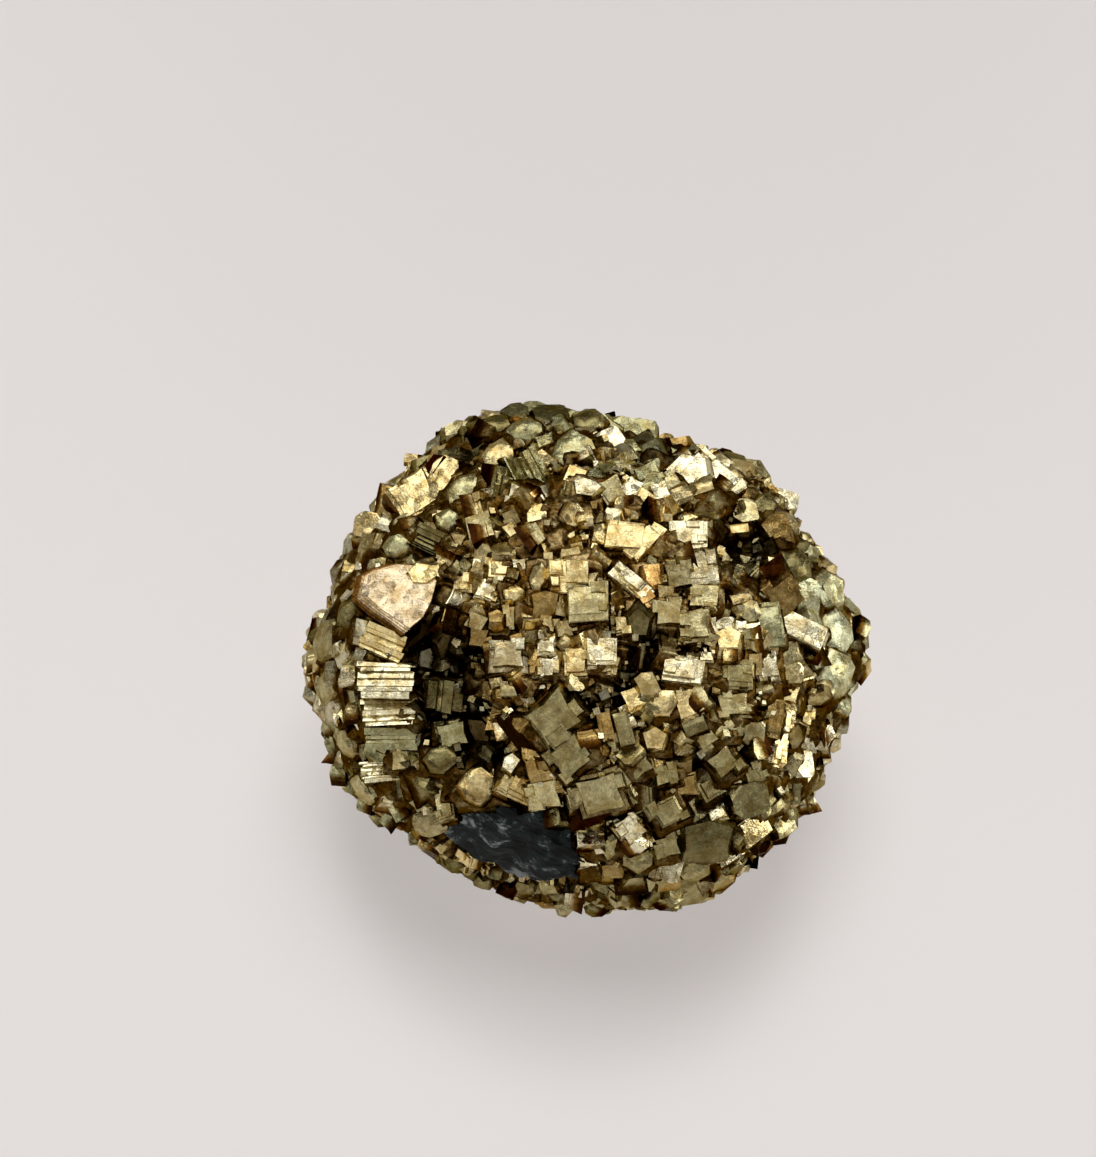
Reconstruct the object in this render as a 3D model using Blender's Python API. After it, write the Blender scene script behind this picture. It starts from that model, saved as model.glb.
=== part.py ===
"""A hand-sized marcasite cluster: brassy iron-sulphide crystals grown together into one round, low dome
over a chunk of dark slate, which shows through a bare window on the lower front.

Blender --background --python part.py, or run it from the text editor. Metres, +Z up, origin at the middle of
the flat base. The showy side looks forward (-Y) and up at SHOW_TILT, and the larger crystals are laid out on
that side in millimetres: across is +X and up is square to it, both measured from the middle of the dome.
"""

import math
import random

import bmesh
import bpy
from mathutils import Matrix, Vector, noise
from mathutils.bvhtree import BVHTree

MM = 0.001

# The dome, in millimetres
DOME_RADII = Vector((25.5, 24.4, 19.8))  # half width, half depth, half height
DOME_MIDDLE = 17.4  # height of its middle over the base
DOME_ROUGHNESS = 0.55  # random rise and fall of its surface
SHOW_TILT = math.radians(55.0)  # the showy side looks this far above the horizon
CENTRING = Vector((-0.45, -0.85, 0.0))  # brings the finished cluster's box over the origin

# The slate
SLATE_PLACE = (-6.6, -17.8)  # across and up, on the showy side
SLATE_RADII = Vector((8.8, 5.6, 6.0))  # along its layers, across them, and into the dome
SLATE_TURN = math.radians(-27.0)
SLATE_SUNK = 3.5  # its middle under the dome's surface
SLATE_GAP = 0.3  # all round it, to the crystals
SLATE_CLEAR = 0.9  # crystals start this far from it
SLATE_LAYER = 1.1  # thickness of one cleavage layer

# Crystals that fill the rest of the dome
FRONT_SPACING = 4.15
BACK_SPACING = 5.6
FILL_SIZE = 1.12  # of the spacing
LARGE_STANDS_OUT = 0.36  # share of a crystal that stands out of the dome
FILL_STANDS_OUT = 0.3
SEED = 7

ACROSS = Vector((1.0, 0.0, 0.0))
UP = Vector((0.0, math.sin(SHOW_TILT), math.cos(SHOW_TILT)))
OUT = Vector((0.0, -math.cos(SHOW_TILT), math.sin(SHOW_TILT)))

# Swells and hollows of the dome: across, up, height and radius
SWELLS = (
    (5.5, 6.0, 1.3, 13.0),  # crown
    (-21.5, 2.0, 1.6, 6.5),  # left knob
    (27.0, 1.0, 2.2, 4.5),  # right knob
    (12.0, -14.5, 1.0, 9.0),  # lower right shoulder
    (-22.0, -12.5, 1.4, 4.5),  # lower left foot
    (-1.5, -7.5, 1.2, 4.5),  # under the big cube
    (-15.5, 2.0, -4.2, 2.7),  # cave between the left knob and the crown
    (-13.0, -4.5, -2.6, 2.6),  # gully down from the cave
    (-9.8, -6.5, -3.4, 2.4),
    (-1.0, -3.0, -2.4, 2.2),  # gully under the crown
    (3.9, -1.6, -2.8, 2.0),
    (7.4, 0.3, -2.2, 2.0),
    (15.2, 10.6, -3.6, 2.5),  # hole in the upper right
    (8.3, 20.3, -2.6, 1.6),  # two slots at the back rim
    (4.8, 20.6, -2.0, 1.4),
    (-6.2, -17.8, -2.8, 6.5),  # the bare window
    (25.0, -6.6, -4.6, 3.8),  # the outline, anticlockwise from the right knob's foot
    (22.5, 13.0, -2.0, 4.0),
    (9.5, 23.0, -2.2, 5.0),
    (-10.0, 23.0, 2.2, 7.5),
    (-24.5, 6.5, -1.0, 3.0),
    (-26.0, -1.0, 0.8, 4.0),
    (-16.0, -19.5, -4.6, 6.0),
    (11.0, -22.5, 1.8, 6.5),
)

# Large crystals of the showy side: form, across, up, width, height, spin in degrees
LARGE_CRYSTALS = (
    # back rim, left to right
    ("ball", -12.8, 22.6, 3.6, 3.4, 10),
    ("block", -14.5, 18.6, 2.2, 5.0, 14),
    ("plate", -17.4, 16.8, 5.2, 5.0, 20),
    ("block", -20.3, 15.4, 3.2, 2.4, 30),
    ("block", -21.7, 13.2, 3.6, 2.6, 5),
    ("cube", -22.8, 10.8, 3.4, 3.4, 12),
    ("ball", -24.2, 8.8, 2.6, 3.2, 0),
    ("cube", -12.2, 17.3, 5.4, 5.0, 12),
    ("plate", -8.9, 20.2, 3.6, 6.2, 26),
    ("block", -5.3, 19.0, 3.6, 6.0, 36),
    ("octahedron", -9.4, 24.2, 4.2, 4.0, 15),
    ("cube", -5.6, 23.4, 3.4, 3.2, 20),
    ("cube", -3.0, 24.4, 3.0, 2.8, 0),
    ("octahedron", 0.4, 24.4, 5.0, 4.6, 35),
    ("ball", -1.2, 21.0, 4.6, 4.8, 0),
    ("cube", 2.9, 22.2, 3.0, 3.0, 25),
    ("ball", 5.6, 22.0, 3.2, 3.0, 0),
    ("cube", 6.5, 18.9, 3.4, 3.2, 24),
    ("pyritohedron", 10.7, 19.2, 5.2, 5.0, 8),
    ("block", 13.7, 18.3, 2.2, 5.6, 40),
    ("ball", 10.6, 22.2, 4.0, 3.4, 0),
    ("ball", 14.8, 20.6, 3.6, 3.4, 15),
    ("ball", 17.2, 18.4, 4.6, 4.8, 30),
    ("plate", 19.8, 15.9, 4.4, 2.4, -14),
    ("block", 21.8, 13.8, 1.9, 3.6, 5),
    # upper right
    ("octahedron", 13.0, 15.4, 3.0, 3.0, 45),
    ("cube", 16.0, 14.8, 2.6, 2.4, 10),
    ("octahedron", 19.3, 13.2, 3.6, 3.4, 20),
    ("ball", 21.4, 9.2, 4.2, 4.0, 0),
    ("ball", 24.0, 10.2, 3.2, 3.0, 20),
    ("ball", 25.2, 6.6, 4.0, 4.6, 10),
    ("ball", 22.5, 6.2, 3.0, 3.4, 0),
    ("cube", 20.3, 6.2, 3.4, 3.4, 36),
    ("cube", 18.8, 10.0, 2.0, 2.2, 0),
    ("ball", 26.2, 2.8, 5.2, 4.8, 0),
    ("ball", 26.0, -1.4, 5.0, 4.8, 25),
    # crown
    ("block", 11.2, 12.3, 3.4, 2.8, 0),
    ("block", 11.8, 9.0, 3.0, 3.8, 8),
    ("block", 9.0, 12.0, 1.9, 3.8, 0),
    ("cube", 9.4, 8.4, 2.9, 2.9, 9),
    ("cube", 12.2, 6.3, 2.8, 2.4, -4),
    ("block", 3.9, 12.6, 3.6, 2.6, -5),
    ("block", 5.9, 11.6, 2.0, 3.8, -40),
    ("cube", 7.3, 11.2, 2.6, 2.4, -35),
    ("block", 4.5, 8.0, 1.9, 4.4, 45),
    ("plate", 0.2, 17.3, 3.8, 2.8, -20),
    ("cube", 2.7, 16.9, 2.6, 2.4, 30),
    ("octahedron", 3.0, 14.6, 2.8, 2.6, 0),
    ("block", -1.5, 8.6, 3.8, 3.2, 0),
    ("cube", -6.4, 9.2, 2.6, 2.6, -5),
    ("ball", -4.4, 8.4, 2.6, 3.8, 0),
    ("cube", -9.7, 7.1, 2.6, 2.6, -24),
    ("ball", -7.2, 6.2, 2.8, 2.8, 0),
    ("ball", -3.8, 5.9, 3.0, 2.6, 0),
    ("block", 0.6, 6.0, 4.0, 4.0, 4),
    ("cube", -7.7, 0.7, 3.6, 3.4, 0),
    ("cube", -3.6, 0.4, 2.8, 3.6, 0),
    ("cube", -1.0, -0.2, 2.4, 2.8, 0),
    ("block", 1.7, 0.7, 3.0, 2.8, 2),
    ("ball", 5.1, 3.9, 3.2, 3.8, 0),
    ("cube", 8.3, 4.6, 3.2, 3.4, 0),
    ("cube", 11.0, 3.1, 3.0, 3.2, 5),
    ("block", 9.8, -0.8, 3.8, 2.6, -9),
    ("octahedron", 14.3, 2.0, 3.2, 3.2, 0),
    ("octahedron", 16.6, 5.2, 3.0, 3.0, 20),
    ("cube", 16.4, 2.9, 2.6, 2.4, 0),
    ("cube", 18.7, 3.6, 2.8, 3.4, 10),
    ("block", 21.8, 3.0, 4.8, 2.6, -30),
    ("cube", 21.0, 0.2, 2.8, 2.8, 10),
    ("cube", 18.5, -0.8, 3.0, 3.0, 32),
    # lower right
    ("block", 15.0, -1.3, 3.8, 3.0, 0),
    ("cube", 10.5, -4.0, 3.4, 3.4, 24),
    ("ball", 7.9, -4.0, 3.4, 3.2, 0),
    ("cube", 14.6, -4.4, 3.6, 3.4, 10),
    ("block", 18.8, -5.6, 2.4, 4.4, -10),
    ("cube", 21.4, -5.0, 3.0, 3.0, 0),
    ("block", 20.2, -8.8, 2.2, 4.8, -15),
    ("cube", 11.8, -7.8, 3.2, 3.2, 40),
    ("cube", 13.9, -10.2, 3.7, 3.7, 36),
    ("cube", 17.0, -11.0, 3.2, 3.2, 20),
    ("cube", -3.0, -5.6, 6.4, 6.0, 40),
    ("cube", -1.5, -9.8, 4.8, 4.6, 36),
    ("cube", 1.5, -13.4, 5.3, 5.0, 10),
    ("cube", 5.4, -10.6, 2.9, 2.9, 42),
    ("block", 3.4, -6.8, 2.4, 3.6, 5),
    ("cube", 7.0, -7.8, 3.0, 3.0, 30),
    ("cube", 8.2, -11.4, 3.0, 2.8, 8),
    ("cube", 8.4, -15.2, 4.2, 3.8, 30),
    ("cube", 4.5, -16.9, 3.0, 3.2, 36),
    ("block", 0.6, -17.6, 3.0, 2.4, 0),
    ("cube", 0.5, -19.9, 2.5, 2.5, 0),
    ("ball", 5.3, -20.3, 4.0, 3.6, 0),
    ("cube", 8.2, -18.9, 3.2, 3.0, 15),
    ("ball", 12.3, -17.8, 5.4, 4.8, 0),
    ("cube", 17.2, -15.2, 4.8, 4.4, 15),
    ("block", 18.6, -18.0, 3.4, 2.8, 30),
    ("block", 15.2, -20.0, 3.6, 2.6, 20),
    ("cube", 22.3, -13.6, 3.2, 3.2, 5),
    ("cube", 22.9, -10.0, 3.0, 3.0, 0),
    ("ball", 11.2, -21.6, 3.8, 3.4, 0),
    ("cube", 5.3, -23.6, 3.6, 3.4, 0),
    ("ball", 1.4, -23.4, 3.4, 3.0, 0),
    ("block", 8.4, -23.0, 2.4, 4.2, 0),
    # left knob
    ("plate", -18.9, 6.2, 7.8, 6.4, -12),
    ("plate", -16.6, 8.2, 3.6, 3.4, 20),
    ("block", -20.0, 3.0, 4.2, 2.0, -20),
    ("block", -20.6, -2.2, 6.4, 3.6, 3),
    ("block", -20.2, -5.3, 6.4, 2.9, 2),
    ("block", -19.6, -7.8, 5.8, 2.2, 0),
    ("block", -20.4, -11.4, 4.8, 2.2, 10),
    ("ball", -26.2, -3.0, 4.2, 4.4, 0),
    ("ball", -26.0, 1.6, 3.8, 3.8, 20),
    ("octahedron", -24.9, 5.0, 3.8, 3.8, 0),
    ("ball", -24.2, -8.2, 4.0, 3.6, 0),
    ("ball", -22.2, -13.2, 4.2, 4.0, 0),
    ("block", -18.8, -14.8, 3.8, 2.6, -10),
    ("octahedron", -16.0, -13.0, 4.2, 4.0, 20),
    ("cube", -15.8, -16.4, 3.2, 2.8, 25),
    ("ball", -10.9, -12.4, 4.6, 4.4, 0),
    ("octahedron", -7.4, -10.2, 3.2, 3.2, 20),
    ("block", -6.2, -12.6, 3.6, 3.0, -25),
    ("cube", -4.3, -13.6, 3.4, 3.0, 10),
    ("cube", -14.4, -9.6, 3.4, 3.2, 0),
    ("cube", -13.4, -5.4, 3.8, 3.6, 0),
    ("block", -13.6, 11.0, 6.0, 2.8, -25),
    ("ball", -13.4, 13.9, 3.4, 3.2, 0),
    ("cube", -10.6, 13.4, 3.2, 3.2, 15),
    ("ball", -19.0, 11.8, 3.2, 3.0, 0),
)


def clear_scene():
    for obj in list(bpy.data.objects):
        bpy.data.objects.remove(obj)


def collection(name, hidden=False):
    made = bpy.data.collections.new(name)
    made.hide_render = hidden
    bpy.context.scene.collection.children.link(made)
    return made


def new_object(name, mesh_data, home):
    """An object from a bmesh laid out in millimetres."""
    mesh = bpy.data.meshes.new(name)
    bmesh.ops.scale(mesh_data, vec=(MM, MM, MM), verts=mesh_data.verts)
    mesh_data.to_mesh(mesh)
    mesh_data.free()
    obj = bpy.data.objects.new(name, mesh)
    home.objects.link(obj)
    return obj


def material(name, colour, metallic, roughness):
    made = bpy.data.materials.new(name)
    made.use_nodes = True
    shader = made.node_tree.nodes["Principled BSDF"]
    shader.inputs["Base Color"].default_value = (*colour, 1.0)
    shader.inputs["Metallic"].default_value = metallic
    shader.inputs["Roughness"].default_value = roughness
    return made


# The dome's surface


def on_show_side(across, up, out=0.0):
    """A place laid out on the showy side, as a point from the dome's middle."""
    return ACROSS * across + UP * up + OUT * out


def plain_dome_radius(direction):
    scaled = Vector(d / r for d, r in zip(direction, DOME_RADII))
    return 1.0 / scaled.length


def swell_middles():
    """Each swell's middle, with its height and radius: it starts level with the dome's middle and climbs out to
    the plain dome's surface."""
    found = []
    for across, up, height, radius in SWELLS:
        place = on_show_side(across, up)
        while place.length < plain_dome_radius(place.normalized()):
            place += OUT * 0.25
        found.append((place, height, radius))
    return found


def dome_mesh():
    """An icosphere stretched to the dome's radii, then raised and hollowed by the swells."""
    made = bmesh.new()
    bmesh.ops.create_icosphere(made, subdivisions=4, radius=1.0)
    middles = swell_middles()
    for vert in made.verts:
        direction = vert.co.normalized()
        point = direction * plain_dome_radius(direction)
        rise = DOME_ROUGHNESS * noise.noise(point * 0.16)
        for middle, height, radius in middles:
            rise += height * math.exp(-((point - middle).length / radius) ** 2)
        vert.co = point + direction * rise
    return made


def surface_hit(dome, across, up):
    """Where a line against OUT meets the dome, and the slope there. Past the rim, it takes the nearest point."""
    start = on_show_side(across, up, 60.0)
    place, normal, _, _ = dome.ray_cast(start, -OUT)
    if place is None:
        place, normal, _, _ = dome.find_nearest(on_show_side(across, up, 0.0))
    return place, normal


# Crystal forms, each about 1 mm across, with its main face up


def cube_form(mesh_data):
    return bmesh.ops.create_cube(mesh_data, size=1.0)["verts"]


def plate_form(mesh_data):
    return bmesh.ops.create_cone(
        mesh_data, cap_ends=True, segments=8, radius1=0.56, radius2=0.47, depth=0.7
    )["verts"]


def octahedron_form(mesh_data):
    return bmesh.ops.create_uvsphere(mesh_data, u_segments=4, v_segments=2, radius=0.66)["verts"]


def ball_form(mesh_data):
    """The twenty-faced habit, where octahedron and pyritohedron faces meet."""
    return bmesh.ops.create_icosphere(mesh_data, subdivisions=1, radius=0.6)["verts"]


def pyritohedron_form(mesh_data):
    """Twelve five-sided faces: a cube's corners, and a short roof ridge over each of its faces."""
    half, ridge = 0.42, 0.5
    reach, short = half * (1 + ridge), half * (1 - ridge * ridge)
    corners = [Vector((x, y, z)) for x in (-half, half) for y in (-half, half) for z in (-half, half)]
    for a in (-1, 1):
        for b in (-1, 1):
            corners += [
                Vector((0, a * short, b * reach)),
                Vector((a * short, b * reach, 0)),
                Vector((b * reach, 0, a * short)),
            ]
    verts = [mesh_data.verts.new(c) for c in corners]
    bmesh.ops.convex_hull(mesh_data, input=verts)
    return verts


FORMS = {
    "cube": cube_form,
    "block": cube_form,
    "plate": plate_form,
    "octahedron": octahedron_form,
    "ball": ball_form,
    "pyritohedron": pyritohedron_form,
}


def facing(normal, spin, lean):
    """A turn that points a crystal's main face along normal, its height towards the showy side's up."""
    main = (normal.normalized() + lean).normalized()
    tall = UP - main * UP.dot(main)
    if tall.length < 0.05:
        tall = ACROSS - main * ACROSS.dot(main)
    tall.normalize()
    wide = tall.cross(main)
    turn = Matrix((wide, tall, main)).transposed()
    return turn @ Matrix.Rotation(spin, 3, "Z")


def add_crystal(mesh_data, form, place, turn, width, height, stands_out):
    depth = 0.5 * (width + height)
    middle = place + turn @ Vector((0, 0, depth * (stands_out - 0.5)))
    verts = FORMS[form](mesh_data)
    stretch = Matrix.Diagonal((width, height, depth, 1.0))
    bmesh.ops.transform(
        mesh_data,
        matrix=Matrix.Translation(middle) @ turn.to_4x4() @ stretch,
        verts=verts,
    )


def random_lean(rng, most):
    return Vector((rng.uniform(-most, most) for _ in range(3)))


def fill_places(dome, taken, rng):
    """Points spread over the rest of the dome, no closer than the spacing, by trying random directions."""
    places = []
    slate_middle, slate_turn = slate_place(dome)
    for _ in range(9000):
        direction = Vector((rng.gauss(0, 1), rng.gauss(0, 1), rng.gauss(0, 1))).normalized()
        place, normal, _, _ = dome.ray_cast(Vector((0, 0, 0)), direction)
        in_slate = slate_turn.transposed() @ (place - slate_middle)
        if Vector(c / (r + SLATE_CLEAR) for c, r in zip(in_slate, SLATE_RADII)).length < 1.0:
            continue
        if place.z < -DOME_MIDDLE - 0.5:
            continue
        spacing = FRONT_SPACING if place.dot(OUT) > -2.0 else BACK_SPACING
        if any((place - other).length < 0.5 * (spacing + room) for other, room in taken):
            continue
        taken.append((place, spacing))
        places.append((place, normal, spacing))
    return places


def crystals_mesh(dome):
    rng = random.Random(SEED)
    made = bmesh.new()
    taken = []
    for form, across, up, width, height, spin in LARGE_CRYSTALS:
        place, normal = surface_hit(dome, across, up)
        turn = facing(normal, math.radians(spin), random_lean(rng, 0.16))
        add_crystal(made, form, place, turn, width, height, LARGE_STANDS_OUT)
        taken.append((place, 0.82 * 0.5 * (width + height)))
    for place, normal, spacing in fill_places(dome, taken, rng):
        form = rng.choice(("cube", "cube", "cube", "cube", "cube", "octahedron"))
        size = FILL_SIZE * spacing * rng.uniform(0.85, 1.12)
        spin = 1.3 * noise.noise(place * 0.07) + rng.uniform(-0.3, 0.3)
        turn = facing(normal, spin, random_lean(rng, 0.3))
        add_crystal(made, form, place, turn, size, size * rng.uniform(0.8, 1.2), FILL_STANDS_OUT)
    return made


# The slate


def slate_place(dome):
    place, normal = surface_hit(dome, *SLATE_PLACE)
    turn = facing(normal, SLATE_TURN, Vector((0, 0, 0)))
    return place - normal.normalized() * SLATE_SUNK, turn


def slate_mesh(dome, extra):
    """A rounded chunk with stepped cleavage layers, grown by extra all over for its pocket."""
    made = bmesh.new()
    bmesh.ops.create_icosphere(made, subdivisions=3, radius=1.0)
    middle, turn = slate_place(dome)
    for vert in made.verts:
        direction = vert.co.normalized()
        point = Vector(d * r for d, r in zip(direction, SLATE_RADII))
        layer = round(point.y / SLATE_LAYER)
        step = 0.35 * noise.noise(Vector((layer * 3.1, 0.4, 7.0)))
        point += direction * (step + 0.5 * noise.noise(point * 0.3) + extra)
        vert.co = middle + turn @ point
    return made


def cut(target, cutter, name):
    modifier = target.modifiers.new(name, "BOOLEAN")
    modifier.operation = "DIFFERENCE"
    modifier.solver = "EXACT"
    modifier.object = cutter
    cutter.hide_render = True
    cutter.display_type = "WIRE"


def keep_outer_skin(obj):
    """Applies the Booleans, then drops the closed voids left between crystals: only the largest island stays."""
    bpy.context.view_layer.update()
    graph = bpy.context.evaluated_depsgraph_get()
    grown = bpy.data.meshes.new_from_object(obj.evaluated_get(graph))
    obj.modifiers.clear()
    obj.data = grown
    shape = bmesh.new()
    shape.from_mesh(grown)
    bmesh.ops.remove_doubles(shape, verts=shape.verts, dist=1e-7)
    islands = []
    left = set(shape.verts)
    while left:
        island = set()
        edge_of_island = [left.pop()]
        while edge_of_island:
            vert = edge_of_island.pop()
            island.add(vert)
            for edge in vert.link_edges:
                other = edge.other_vert(vert)
                if other in left:
                    left.remove(other)
                    edge_of_island.append(other)
        islands.append(island)
    islands.sort(key=len)
    for island in islands[:-1]:
        bmesh.ops.delete(shape, geom=list(island), context="VERTS")
    shape.to_mesh(grown)
    shape.free()


def floor_cutter(home):
    made = bmesh.new()
    bmesh.ops.create_cube(made, size=1.0)
    bmesh.ops.scale(made, vec=(120, 120, 40), verts=made.verts)
    bmesh.ops.translate(made, vec=(0, 0, -DOME_MIDDLE - 20), verts=made.verts)
    return new_object("below_the_base", made, home)


def main():
    clear_scene()
    pieces = collection("marcasite_cluster")
    cutters = collection("cutters", hidden=True)

    dome_data = dome_mesh()
    dome = BVHTree.FromBMesh(dome_data)

    cluster = new_object("crystal_cluster", dome_data, pieces)
    crystals = new_object("crystals", crystals_mesh(dome), cutters)
    crystals.hide_render = True
    crystals.display_type = "WIRE"
    grown = cluster.modifiers.new("grown together", "BOOLEAN")
    grown.operation = "UNION"
    grown.solver = "EXACT"
    grown.use_self = True
    grown.object = crystals
    cut(cluster, new_object("slate_pocket", slate_mesh(dome, SLATE_GAP), cutters), "slate pocket")
    cut(cluster, floor_cutter(cutters), "flat base")
    keep_outer_skin(cluster)
    cluster.data.materials.clear()
    cluster.data.materials.append(material("brassy marcasite", (0.58, 0.47, 0.24), 1.0, 0.28))

    slate = new_object("host_rock", slate_mesh(dome, 0.0), pieces)
    slate.data.materials.append(material("dark slate", (0.035, 0.042, 0.045), 0.0, 0.75))

    for obj in (cluster, slate, *cutters.objects):
        obj.location = (CENTRING + Vector((0, 0, DOME_MIDDLE))) * MM


main()
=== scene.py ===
import bpy
import math
import numpy as np
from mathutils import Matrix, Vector


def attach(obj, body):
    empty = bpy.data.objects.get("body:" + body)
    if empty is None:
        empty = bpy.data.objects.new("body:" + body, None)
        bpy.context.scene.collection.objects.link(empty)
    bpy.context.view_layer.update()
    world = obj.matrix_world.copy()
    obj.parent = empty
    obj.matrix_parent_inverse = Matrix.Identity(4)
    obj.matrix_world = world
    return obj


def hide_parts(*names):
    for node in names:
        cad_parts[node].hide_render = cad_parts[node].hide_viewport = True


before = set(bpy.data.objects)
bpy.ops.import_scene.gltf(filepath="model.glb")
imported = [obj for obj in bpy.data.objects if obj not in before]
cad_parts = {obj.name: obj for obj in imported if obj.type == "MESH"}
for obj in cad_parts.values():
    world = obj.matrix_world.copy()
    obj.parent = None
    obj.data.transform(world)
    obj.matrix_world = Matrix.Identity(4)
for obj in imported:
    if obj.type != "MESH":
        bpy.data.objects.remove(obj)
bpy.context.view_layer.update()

# A marcasite cluster: brassy iron-sulphide crystals grown together over a dome, with a chunk of slate
# showing at the lower left. Shapes are worked out in millimetres from the dome's middle and become metres
# when a mesh is made. Crystals of the showy side are placed by how far across and up they lie on it.

mm = 0.001
rng = np.random.default_rng(11)

showTilt = math.radians(55)  # the showy side looks this far above the horizon
acrossAxis = np.array([1.0, 0.0, 0.0])
upAxis = np.array([0.0, math.sin(showTilt), math.cos(showTilt)])
outAxis = np.array([0.0, -math.cos(showTilt), math.sin(showTilt)])

# the eye stands this far out from the dome's middle, aimed a little up and to the left of it
camera = {"distance": 320.0, "frameHeight": 115.7, "aimAcross": -3.7, "aimUp": 8.15}

dome = {
    "radii": np.array([25.5, 24.4, 19.8]),
    "middle": np.array([-0.45, -0.85, 17.4]),  # over the middle of the base
    "roughness": 0.35,
    # across, up, height and radius of each swell or hollow
    "swells": [
        (5.5, 6.0, 1.3, 13.0),  # crown
        (-21.5, 2.0, 1.6, 6.5),  # left knob
        (27.0, 1.0, 2.2, 4.5),  # right knob
        (12.0, -14.5, 1.0, 9.0),  # lower right shoulder
        (-22.0, -12.5, 1.4, 4.5),  # lower left foot
        (-1.5, -7.5, 1.2, 4.5),  # under the big cube
        (-15.5, 2.0, -4.2, 2.7),  # cave between the left knob and the crown
        (-13.0, -4.5, -2.6, 2.6),  # gully down from the cave
        (-9.8, -6.5, -3.4, 2.4),
        (-1.0, -3.0, -1.7, 2.2),  # gully under the crown
        (3.9, -1.6, -2.0, 1.8),
        (7.4, 0.3, -1.4, 1.6),
        (15.2, 10.6, -3.6, 2.5),  # hole in the upper right
        (8.3, 20.3, -2.6, 1.6),  # two slots at the back rim
        (4.8, 20.6, -2.0, 1.4),
        (-5.8, -17.0, -2.4, 6.0),  # the bare window
        (25.0, -6.6, -4.6, 3.8),  # the outline, anticlockwise from the right knob's foot
        (22.5, 13.0, -2.0, 4.0),
        (9.5, 23.0, -2.2, 5.0),
        (-10.0, 23.0, 2.2, 7.5),
        (-24.5, 6.5, -1.0, 3.0),
        (-26.0, -1.0, 0.8, 4.0),
        (-16.0, -19.5, -4.6, 6.0),
        (11.0, -22.5, 1.8, 6.5),
    ],
}


def onShowSide(across, up, out=0.0):
    # a place laid out on the showy side, as points from the dome's middle
    across, up, out = np.broadcast_arrays(across, up, out)
    return across[..., None] * acrossAxis + up[..., None] * upAxis + out[..., None] * outAxis


def unit(vectors):
    return vectors / np.linalg.norm(vectors, axis=-1, keepdims=True)


def stack(*arrays):
    return np.stack(arrays, axis=-1)


def latticeNoise(points, size, seed):
    # random values on a cubic lattice of the given size, blended smoothly between its corners, from -1 to 1
    table = np.random.default_rng(seed).uniform(-1, 1, (32, 32, 32))
    scaled = points / size
    cell = np.floor(scaled).astype(int)
    part = scaled - cell
    part = part * part * (3 - 2 * part)
    total = np.zeros(points.shape[:-1])
    for corner in np.ndindex(2, 2, 2):
        at = (cell + corner) % 32
        share = np.prod(np.where(corner, part, 1 - part), axis=-1)
        total += share * table[at[..., 0], at[..., 1], at[..., 2]]
    return total


def domeRadius(directions):
    # an ellipsoid's radius, plus each swell as a bell-shaped rise round its middle
    radius = 1 / np.linalg.norm(directions / dome["radii"], axis=-1)
    points = directions * radius[..., None]
    rise = dome["roughness"] * latticeNoise(points, 6.0, 3)
    for middle, (_, _, height, width) in zip(swellMiddles, dome["swells"]):
        rise = rise + height * np.exp(-np.sum((points - middle) ** 2, axis=-1) / width ** 2)
    return radius + rise


def findSwellMiddles():
    # each one starts level with the dome's middle and climbs out to the ellipsoid
    middles = []
    for across, up, _, _ in dome["swells"]:
        place = onShowSide(across, up)
        while np.linalg.norm(place / dome["radii"]) < 1:
            place = place + 0.25 * outAxis
        middles.append(place)
    return np.array(middles)


swellMiddles = findSwellMiddles()


def domePoints(directions):
    return directions * domeRadius(directions)[..., None]


def domeNormals(points):
    # the cross product of the surface's slopes along two small turns of each point's direction
    directions = unit(points)
    sideways = unit(np.cross(directions, np.array([0.37, 0.21, 0.91])))
    upwards = np.cross(directions, sideways)
    step = 0.03
    slopeA = domePoints(unit(directions + step * sideways)) - domePoints(unit(directions - step * sideways))
    slopeB = domePoints(unit(directions + step * upwards)) - domePoints(unit(directions - step * upwards))
    return unit(np.cross(slopeA, slopeB))


def showPoints(across, up):
    # walks in from far outside until the dome starts; past the rim it takes the surface in that direction
    outs = np.linspace(40, -10, 401)
    line = onShowSide(across[:, None], up[:, None], outs[None, :])
    depth = domeRadius(unit(line)) - np.linalg.norm(line, axis=-1)
    inside = depth > 0
    first = np.argmax(inside, axis=1)
    rows = np.arange(len(across))
    found = line[rows, first]
    beyond = ~inside.any(axis=1)
    found[beyond] = domePoints(unit(onShowSide(across[beyond], up[beyond], -3.0)))
    return found


# Crystal forms. Most are a stack of level outlines: the sides keep their bearing from level to level, so
# every face stays flat, and the corners are where neighbouring sides cross.


def bands(levels, sides):
    # quads between each ring of points and the next one up: two corners below, then the two above them
    level, side = np.meshgrid(np.arange(levels - 1), np.arange(sides), indexing="ij")
    here, after = level * sides + side, level * sides + (side + 1) % sides
    return stack(here, after, after + sides, here + sides).reshape(-1, 4)


def ringForm(outlines, heights, bulge=0.07):
    # closes a stack of outlines from the foot up, with a face over the top and one under the foot
    levels, sides = len(outlines), len(outlines[0])
    points = np.array([[*corner, z] for outline, z in zip(outlines, heights) for corner in outline])
    top = np.arange((levels - 1) * sides, levels * sides)
    return domeFaces(points, [*bands(levels, sides), top, np.arange(sides)[::-1]], bulge)


square = np.arange(4) * 90  # bearings of four sides


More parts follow.
